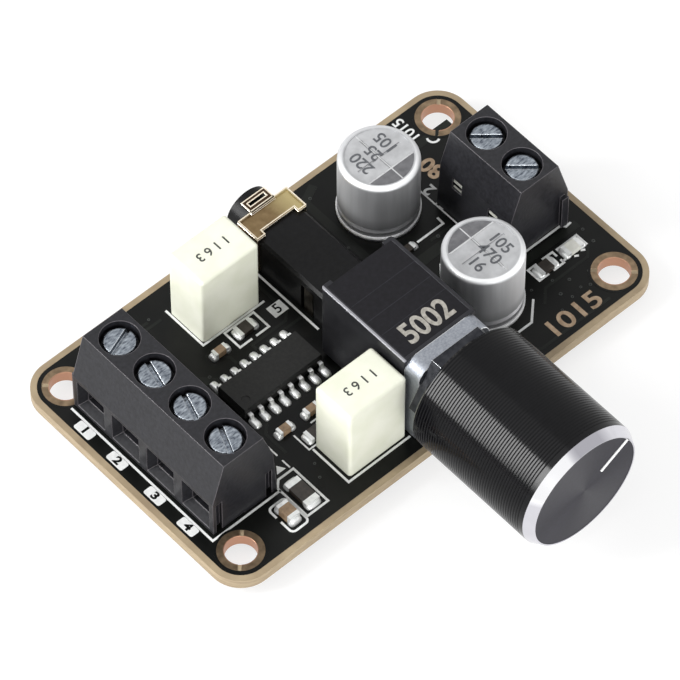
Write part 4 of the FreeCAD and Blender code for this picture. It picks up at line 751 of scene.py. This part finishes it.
aluminium = finish("can_aluminium", tone(176, 177, 179), tone(198, 199, 201), 0.46, metallic=0.45,
                   scale=900, stretch=(1, 1, 0.06), relief=0.004)
foot_rings = []
for name in ("electrolytic_rear_can", "electrolytic_front_can"):
    low, high = extent(name)
    middle = (low + high) / 2
    can_finish = aluminium.copy()
    can_finish.name = name + "_finish"
    can_place = can_finish.node_tree.nodes["Texture Coordinate"].outputs["Object"]
    from_axis = distance_from(can_finish, can_place, middle.x, middle.y)
    outside = growth(can_finish, from_axis, rim_radii[0] * MM, rim_radii[1] * MM)
    rim = both(can_finish, outside, band(can_finish, "Z", high.z, rim_reach))
    # The front can's +X side below the rim is painted light as a highlight.
    if name == "electrolytic_front_can":
        below_rim = band(can_finish, "Z", high.z, wall_reach)
        can_lit_side = both(can_finish, below_rim, band(can_finish, "X", middle.x, can_lit_reach_x))
        tint(can_finish, can_lit_side, tone(250, 250, 251))
    # The cans darken towards the foot: painted shade.
    tint(can_finish, band(can_finish, "Z", 0, foot_shade_reach), tone(140, 140, 142))
    # The rim is painted lighter as a highlight, and near white on its near side.
    tint(can_finish, rim, tone(212, 213, 215))
    near_y = band(can_finish, "Y", middle.y, near_reach_y)
    rim_glint_side = both(can_finish, near_y, band(can_finish, "X", middle.x, near_reach_x))
    tint(can_finish, both(can_finish, rim, rim_glint_side), tone(250, 251, 252))
    dress(can_finish, name)
    ring_loops = [circle((middle.x, middle.y), radius, 60) for radius in (foot_ring_outer, foot_ring_inner)]
    foot_rings.append(sheet(ring_loops, mask_face, foot_ring_top))
# The foot ring is painted near white and matt, a painted highlight where the can shades it.
lit_can_lip = finish("lit_can_lip", tone(244, 245, 246), tone(254, 254, 254), 0.4, scale=1500, relief=0.004)
piece("can_lips", merged(foot_rings), lit_can_lip, "board")
rubber = finish("bung_rubber", tone(24, 24, 24), tone(34, 34, 34), 0.7, scale=2500, relief=0.02)
dress(rubber, "electrolytic_rear_bung", "electrolytic_front_bung")
dress(tinned, "electrolytic_rear_leads", "electrolytic_front_leads")

grey_print = finish("can_segment", tone(96, 96, 99), tone(118, 118, 121), 0.5, gloss=0.4, scale=1500,
                    relief=0.006)
dark_print = finish("can_figures", tone(74, 76, 80), tone(100, 102, 106), 0.55, scale=4000, relief=0.006)
bright_score = finish("can_score", tone(196, 197, 198), tone(222, 223, 224), 0.28, metallic=1.0, scale=900,
                      relief=0.004)
can_face_radius = 3.38
can_face_recess = 0.08
segment_line = 1.75
half_line = math.sqrt(can_face_radius ** 2 - segment_line ** 2)
half_segment = math.degrees(math.acos(segment_line / can_face_radius))
segment = arc((0, 0), can_face_radius, 90 - half_segment, 90 + half_segment, 24)
segment_height, line_height, score_height, figure_height = 0.015, 0.03, 0.02, 0.03
line_width, score_width = 0.16, 0.13
row_size, row_middle = 1.25, -0.75
row_places = ((1.7, 0.2), (0.0, 0.0), (-1.7, -0.1))
for name, turn, words in (("rear", 180, ("220", "25", "105")), ("front", 0, ("105", "470", "16"))):
    low, high = extent(f"electrolytic_{name}_can")
    middle = (low + high) / 2
    face = high.z - can_face_recess
    turned = laid(middle.x, middle.y, 0, turn)
    mark = gather([prism(segment, face, face + segment_height)])
    mark.transform(turned)
    piece(f"can_segment_{name}", mark, grey_print, "board")
    score = gather([
        stroke([(-half_line, segment_line), (half_line, segment_line)], line_width, face, face + line_height),
        stroke([(0, -can_face_radius), (0, can_face_radius)], score_width, face, face + score_height),
    ])
    score.transform(turned)
    piece(f"can_score_{name}", score, bright_score, "board")
    rows = []
    for word, (x, shift) in zip(words, row_places):
        place = turned @ laid(x, row_middle + shift, face + figure_height / 2, -90)
        rows.append(figures(word, row_size, place, thickness=figure_height, bold=0.02))
    piece(f"can_figures_{name}", merged(rows), dark_print, "board")

# Audio socket. A black moulded body under a folded gilt plate, the sleeve contact, with three
# bronze springs in slots in its sides.

socket_plastic = finish("socket_plastic", tone(12, 12, 13), tone(20, 20, 21), 0.34, gloss=0.16, scale=2000,
                        relief=0.01, edge=0.08)
dress(socket_plastic, "audio_jack_body")
clip_low, clip_high = extent("audio_jack_sleeve_contact")
clip_middle = (clip_low.x + clip_high.x) / 2
gilt = finish("gilt_contact", tone(116, 96, 68), tone(138, 117, 86), 0.3, metallic=1.0, scale=1400,
              relief=0.01, edge=0.15)
# The plate is painted lighter towards +X as a highlight, its tongue is painted dark as shade, and its rounded
# edges take a painted highlight.
gilt_lit_reach_x = (0, 2.6)
tongue_shade_reach = (13.25, 13.4)
tint(gilt, band(gilt, "X", clip_middle, gilt_lit_reach_x), tone(186, 170, 124))
tint(gilt, band(gilt, "Y", 0, tongue_shade_reach), tone(70, 54, 42))
rub(gilt, tone(252, 244, 230))
# Raised strips along the plate's edges, tongue, window and fold are painted near white: painted highlights on
# those edges.
glint_gilt = finish("glint_gilt", tone(236, 222, 196), tone(252, 242, 224), 0.3, metallic=0.5, scale=1500,
                     relief=0.01)
rim_inset, rim_width = 0.06, 0.12
rim_top = clip_high.z + 0.015
left, right, front = clip_low.x + rim_inset, clip_high.x - rim_inset, clip_low.y + rim_inset
ear_width, ear_reach = 0.93, 0.6
plate_rear, fold, tongue_rear = 13.2, 13.31, 14.63
window_front, window_rear = 13.74, 14.26
half_tongue, half_window, half_fold = 1.43, 1.06, 1.55
plate_outline = [
    (left, front), (left + ear_width, front), (left + ear_width, front + ear_reach),
    (right - ear_width, front + ear_reach), (right - ear_width, front), (right, front),
    (right, plate_rear), (left, plate_rear),
]
tongue = corners((clip_middle - half_tongue, plate_rear), (clip_middle + half_tongue, tongue_rear))
window = corners((clip_middle - half_window, window_front), (clip_middle + half_window, window_rear))
clip_paths = (plate_outline, tongue, window)
clip_rims = [stroke(path, rim_width, clip_high.z, rim_top, closed=True) for path in clip_paths]
fold_line = [(clip_middle - half_fold, fold), (clip_middle + half_fold, fold)]
clip_rims.append(stroke(fold_line, rim_width, clip_high.z, rim_top))
piece("clip_rims", gather(clip_rims), glint_gilt, "board")
dress(gilt, "audio_jack_sleeve_contact")
# The springs are painted a dark bronze as painted shade in their slots.
shaded_spring_bronze = finish("shaded_spring_bronze", tone(58, 52, 44), tone(84, 76, 64), 0.35, metallic=1.0, scale=1800,
                       relief=0.01)
dress(shaded_spring_bronze, "audio_jack_tip_spring", "audio_jack_switch_spring", "audio_jack_ring_spring")

# Potentiometer. A sandy cast plate and a sheet frame round three moulded housings, with its
# value printed in silver on the front one.

# The plate's rounded edges take a painted highlight colour.
cast_plate = finish("cast_plate", tone(134, 138, 146), tone(162, 166, 173), 0.48, metallic=1.0, scale=5200,
                    relief=0.02, edge=0.22, edge_glint=tone(244, 246, 246))
dress(cast_plate, "potentiometer_front_plate")
# The frame is painted dark as shade, and its left sheet's top edge is painted light as a highlight.
frame_steel = finish("frame_steel", tone(38, 38, 42), tone(50, 50, 54), 0.44, metallic=0.6, scale=700,
                     relief=0.002, edge=0.12)
steel_low, steel_high = extent("potentiometer_frame")
edge_reach_x, edge_reach_z = (0.3, 0.2), (-0.2, -0.1)
left_edge_glint = both(frame_steel, band(frame_steel, "X", steel_low.x, edge_reach_x),
                 band(frame_steel, "Z", steel_high.z, edge_reach_z))
tint(frame_steel, left_edge_glint, tone(158, 158, 163))
dress(frame_steel, "potentiometer_frame")
housing_plastic = finish("potentiometer_plastic", tone(15, 14, 18), tone(23, 22, 27), 0.4, gloss=0.2,
                         scale=2200, relief=0.012, edge=0.05)
dress(housing_plastic, "potentiometer_front_housing", "potentiometer_rear_housing")
dress(housing_plastic, "potentiometer_switch_housing")
dress(tinned, "potentiometer_leads")
# The nut is painted dark as shade under the knob, with a painted highlight on its rounded edges.
nut_steel = finish("nut_steel", tone(46, 47, 51), tone(64, 65, 69), 0.34, metallic=1.0, scale=1800,
                   relief=0.015, edge=0.1, edge_glint=tone(226, 228, 230))
dress(nut_steel, "potentiometer_nut")
shaft_metal = finish("shaft_aluminium", tone(150, 151, 153), tone(182, 183, 185), 0.32, metallic=1.0,
                     scale=1500, relief=0.01)
dress(shaft_metal, "volume_shaft")
rotor_plastic = finish("rotor_plastic", tone(210, 208, 200), tone(228, 226, 218), 0.5, scale=1500,
                       relief=0.01)
dress(rotor_plastic, "volume_front_rotor", "volume_rear_rotor")
silver_print = finish("silver_print", tone(150, 146, 138), tone(188, 184, 176), 0.45, metallic=0.6,
                      scale=2600, relief=0.01)
housing_low, housing_high = extent("potentiometer_front_housing")
switch_low = extent("potentiometer_switch_housing")[0]
value_x = 1.2
value_place = laid(value_x, (housing_low.y + housing_high.y) / 2, housing_high.z + ink_thickness / 2)
value_mesh = figures("5002", 2.35, value_place, bold=0.07, widen=0.86)
piece("potentiometer_value", value_mesh, silver_print, "board")
seam_grey = finish("housing_seam", tone(34, 34, 39), tone(44, 44, 50), 0.5, gloss=0.2, scale=1500,
                   relief=0.004)
seam_width, seam_height = 0.07, 0.006
seam_inset = 0.1
lid_seam = -4.6
seams = []
for y in (housing_high.y, switch_low.y, lid_seam):
    seam = [(housing_low.x + seam_inset, y), (housing_high.x, y)]
    seams.append(stroke(seam, seam_width, housing_high.z, housing_high.z + seam_height))
piece("housing_seams", gather(seams), seam_grey, "board")

# Volume knob. A black anodised aluminium shell turned with fine grooves, a bevel cut bright, a
# turned face and a white pointer, pressed on the shaft by its core.

knob_low, knob_high = extent("knob_shell")
knob_radius = (knob_high.x - knob_low.x) / 2
knob_length = knob_high.y - knob_low.y
knob_x, knob_z = (knob_low.x + knob_high.x) / 2, (knob_low.z + knob_high.z) / 2
lathe_steps = 144
crease = math.radians(18)


def lathe(name, profile, material):
    """Closed ring swept from a closed profile of (radius, depth) points round the knob's axis."""
    tree, given, made = start_tree(name, (("Profile", "Geometry"), ("Radius", "Float"), ("Steps", "Int")))
    outline = tree.nodes.new("GeometryNodeMeshToCurve")
    path = tree.nodes.new("GeometryNodeCurvePrimitiveCircle")
    swept = tree.nodes.new("GeometryNodeCurveToMesh")
    tree.links.new(given.outputs["Profile"], outline.inputs["Mesh"])
    tree.links.new(given.outputs["Radius"], path.inputs["Radius"])
    tree.links.new(given.outputs["Steps"], path.inputs["Resolution"])
    tree.links.new(path.outputs["Curve"], swept.inputs["Curve"])
    tree.links.new(outline.outputs["Curve"], swept.inputs["Profile Curve"])
    tree.links.new(swept.outputs["Mesh"], made)
    edges = [(index, (index + 1) % len(profile)) for index in range(len(profile))]
    outline_mesh = bpy.data.meshes.new("profile")
    outline_mesh.from_pydata([(radius - knob_radius, depth, 0) for radius, depth in profile], edges, [])
    mesh = run_tree(tree, outline_mesh, Radius=knob_radius, Steps=lathe_steps, Material=material)
    weld(mesh)
    upright = Matrix.Rotation(-math.pi / 2, 4, "X")
    mesh.transform(Matrix.Translation((knob_x, knob_high.y, knob_z)) @ upright)
    mesh.shade_smooth()
    mesh.set_sharp_from_angle(angle=crease)
    return piece(name, mesh, material, "volume_knob")


bevel_depth, bevel_width = 1.0, 0.55
wall, face_wall = 1.0, 1.2
mouth_bevel = 0.25
groove_pitch, groove_depth, groove_land = 0.32, 0.045, 0.17
groove_margin = 0.15
skin = 0.15
shell_step, shell_lip = skin * 1.3, skin * 1.6
bevel_step, bevel_lip = skin * 1.2, skin * 1.5
turned_recess = 0.06
half_cut = (groove_pitch - groove_land) / 2
bevel_start = knob_length - bevel_depth
knob_face_radius = knob_radius - bevel_width - skin
shell_profile = [(knob_radius - wall, 0), (knob_radius - mouth_bevel, 0), (knob_radius, mouth_bevel)]
depth = mouth_bevel + 0.1
while depth + groove_pitch < bevel_start - groove_margin:
    shell_profile.append((knob_radius, depth))
    shell_profile.append((knob_radius - groove_depth, depth + half_cut))
    shell_profile.append((knob_radius, depth + half_cut * 2))
    depth += groove_pitch
shell_profile += [
    (knob_radius, bevel_start), (knob_radius - shell_step, bevel_start),
    (knob_face_radius, knob_length - shell_lip), (knob_face_radius, knob_length - face_wall),
    (knob_radius - wall, knob_length - face_wall),
]
bevel_profile = [
    (knob_radius, bevel_start), (knob_radius - bevel_width, knob_length), (knob_face_radius, knob_length),
    (knob_face_radius, knob_length - bevel_lip), (knob_radius - bevel_step, bevel_start),
]
face_profile = [
    (0, knob_length - face_wall), (knob_face_radius, knob_length - face_wall),
    (knob_face_radius, knob_length - turned_recess), (0, knob_length - turned_recess),
]
knob_black = finish("knob_black", tone(3, 3, 5), tone(7, 7, 10), 0.14, gloss=0.2, scale=1500, relief=0.001,
                    spread=0.01)
cut_bright = finish("cut_bevel", tone(208, 207, 213), tone(216, 215, 221), 0.14, metallic=1.0, scale=300)
# Painted light on the bevel: a painted highlight at its upper left and painted shade from there to its top.
lit_reach_z, lit_reach_x = (2.9, 3.5), (-1.2, -2.0)
shade_reach_z, shade_left, shade_right = (3.6, 4.6), (-1.8, -0.8), (3.4, 2.0)
lit_cut = both(cut_bright, band(cut_bright, "Z", knob_z, lit_reach_z),
               band(cut_bright, "X", knob_x, lit_reach_x))
tint(cut_bright, lit_cut, tone(246, 246, 248))
upper_shade = both(cut_bright, band(cut_bright, "Z", knob_z, shade_reach_z),
                 band(cut_bright, "X", knob_x, shade_left))
shaded_cut = both(cut_bright, upper_shade, band(cut_bright, "X", knob_x, shade_right))
tint(cut_bright, shaded_cut, tone(172, 171, 178))
turned_face = finish("turned_face", tone(50, 49, 55), tone(62, 61, 68), 0.36, metallic=1.0, scale=2500,
                     relief=0.002)
face_nodes, face_links = turned_face.node_tree.nodes, turned_face.node_tree.links
face_place = face_nodes["Texture Coordinate"].outputs["Object"]
centred = maths(turned_face, "VectorMath", "SUBTRACT", face_place, (knob_x * MM, 0, knob_z * MM))
around = maths(turned_face, "VectorMath", "CROSS_PRODUCT", centred, (0, 1, 0))
in_world = face_nodes.new("ShaderNodeVectorTransform")
in_world.vector_type = "VECTOR"
in_world.convert_from = "OBJECT"
in_world.convert_to = "WORLD"
face_links.new(around, in_world.inputs[0])
face_links.new(in_world.outputs[0], face_nodes["Principled BSDF"].inputs["Tangent"])
face_nodes["Principled BSDF"].inputs["Anisotropic"].default_value = 0.8
shell = lathe("knob_shell_turned", shell_profile, knob_black)
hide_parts("knob_shell")
lathe("knob_bevel", bevel_profile, cut_bright)
lathe("knob_face", face_profile, turned_face)
dress(knob_black, "knob_core", "knob_shell")
white_paint = finish("white_paint", tone(232, 232, 232), tone(246, 246, 246), 0.5, scale=2500, relief=0.01)
dress(white_paint, "knob_pointer")

# Chip parts. Small capacitors, resistors and a lamp with tinned ends, each end in a heap of
# solder on its pad.

ceramic = finish("capacitor_ceramic", tone(136, 112, 88), tone(168, 142, 114), 0.4, scale=2500, relief=0.01,
                 edge=0.06)
resistor_black = finish("resistor_body", tone(40, 35, 31), tone(58, 51, 45), 0.35, scale=2500, relief=0.01,
                        edge=0.05)
lamp_white = finish("lamp_body", tone(226, 226, 216), tone(242, 242, 234), 0.35, scale=1500, relief=0.01,
                    edge=0.06)
heap_reach = 0.32
heap_margin = 0.06
heap_side = 0.1
heap_share = 0.7
heaps = []
for bodies, body_finish in (
    ("chip_capacitors", ceramic), ("chip_resistors", resistor_black), ("indicator_lamp", lamp_white),
):
    dress(body_finish, bodies)
    dress(solder, f"{bodies}_ends")
    middles = [(low + high) / 2 for low, high in islands(bodies)]
    for low, high in islands(f"{bodies}_ends"):
        middle = (low + high) / 2
        outward = middle - min(middles, key=lambda other: (other - middle).length)
        half_x, half_y = (high.x - low.x) / 2, (high.y - low.y) / 2
        if abs(outward.x) > abs(outward.y):
            centre = (middle.x + math.copysign(heap_reach / 2, outward.x), middle.y)
            half_heap = (half_x + heap_reach / 2 + heap_margin, half_y + heap_side)
        else:
            centre = (middle.x, middle.y + math.copysign(heap_reach / 2, outward.y))
            half_heap = (half_x + heap_side, half_y + heap_reach / 2 + heap_margin)
        vertices, faces = mound(half_heap[0], half_heap[1], (high.z - mask_face) * heap_share)
        heaps.append(([(x + centre[0], y + centre[1], z + mask_face) for x, y, z in vertices], faces))
heap_mesh = gather(heaps)
heap_mesh.shade_smooth()
piece("chip_part_solder", heap_mesh, solder, "board")

# Floor, light and camera. A pale floor that keeps the shadow, soft boxes at a plain level, and
# the camera at the photo's angle.


def shown_and_lit(owner, shown, lit):
    """Shows the camera and reflections one shader, and lights the object by the other."""
    rays = owner.node_tree.nodes.new("ShaderNodeLightPath").outputs
    seen = maths(owner, "Math", "MAXIMUM", rays["Is Camera Ray"], rays["Is Glossy Ray"])
    seen_or_through = maths(owner, "Math", "MAXIMUM", seen, rays["Is Transmission Ray"])
    mix = owner.node_tree.nodes.new("ShaderNodeMixShader")
    owner.node_tree.links.new(seen_or_through, mix.inputs["Fac"])
    owner.node_tree.links.new(lit, mix.inputs[1])
    owner.node_tree.links.new(shown, mix.inputs[2])
    return mix.outputs[0]


def shade(owner, kind, level):
    """Shader of a kind in one grey."""
    shader = owner.node_tree.nodes.new("ShaderNode" + kind)
    shader.inputs["Color"].default_value = (level, level, level, 1)
    return shader


floor_half_size, floor_thickness = 1500, 1
floor_lit_grey, floor_seen_grey, floor_glow = 0.86, 0.34, 0.72
pale = bpy.data.materials.new("pale_floor")
pale.use_nodes = True
pale.node_tree.nodes.clear()
glow = shade(pale, "Emission", 1.0)
glow.inputs["Strength"].default_value = floor_glow
glowing = pale.node_tree.nodes.new("ShaderNodeAddShader")
pale.node_tree.links.new(shade(pale, "BsdfDiffuse", floor_seen_grey).outputs[0], glowing.inputs[0])
pale.node_tree.links.new(glow.outputs[0], glowing.inputs[1])
floor_lit = shade(pale, "BsdfDiffuse", floor_lit_grey)
floor_surface = shown_and_lit(pale, glowing.outputs[0], floor_lit.outputs[0])
pale_out = pale.node_tree.nodes.new("ShaderNodeOutputMaterial")
pale.node_tree.links.new(floor_surface, pale_out.inputs["Surface"])
floor_top = cad_bounds[0].z / MM
floor_outline = corners((-floor_half_size, -floor_half_size), (floor_half_size, floor_half_size))
floor_mesh = gather([prism(floor_outline, floor_top - floor_thickness, floor_top)])
floor_mesh.transform(Matrix.Scale(MM, 4))
floor_mesh.materials.append(pale)
put("floor", floor_mesh)

white, world_lit_grey = 1.0, 0.45
world = bpy.data.worlds.new("studio")
bpy.context.scene.world = world
world.use_nodes = True
world.node_tree.nodes.clear()
sky_shown, sky_lit = shade(world, "Background", white), shade(world, "Background", world_lit_grey)
sky_out = world.node_tree.nodes.new("ShaderNodeOutputWorld")
sky_surface = shown_and_lit(world, sky_shown.outputs[0], sky_lit.outputs[0])
world.node_tree.links.new(sky_surface, sky_out.inputs["Surface"])

for name, direction, distance, size, power in (
    ("key_box", (-0.755, 0.42, 0.5), 0.7, (0.17, 0.5), 4.6),
    ("top_box", (-0.35, 0.25, 1.0), 0.8, (0.6, 0.6), 0.8),
    ("front_box", (-0.45, -0.85, 0.3), 0.8, (0.4, 0.3), 3.5),
    ("side_box", (0.7, -0.68, 0.15), 0.8, (0.4, 0.3), 1.8),
):
    lamp = bpy.data.lights.new(name, "AREA")
    lamp.shape = "RECTANGLE"
    lamp.size, lamp.size_y = size
    lamp.energy = power
    holder = put(name, lamp)
    away = Vector(direction).normalized()
    holder.location = away * distance
    holder.rotation_euler = away.to_track_quat("Z", "Y").to_euler()

azimuth, elevation = math.radians(-42.0588), math.radians(54.6381)
camera_distance = 0.56493
aim_right, aim_up = -0.00018, -0.00041
level_reach = math.cos(elevation)
back = Vector((math.sin(azimuth) * level_reach, -math.cos(azimuth) * level_reach, math.sin(elevation)))
camera_right = Vector((-back.y, back.x, 0)).normalized()
camera_up = back.cross(camera_right)
lens = bpy.data.cameras.new("camera")
lens.sensor_width = 36
lens.lens = 311.0
lens.clip_start = 0.01
camera = put("camera", lens)
camera.matrix_world = Matrix((camera_right, camera_up, back)).transposed().to_4x4()
camera.location = camera_right * aim_right + camera_up * aim_up + back * camera_distance
bpy.context.scene.camera = camera
bpy.context.scene.view_settings.view_transform = "Standard"
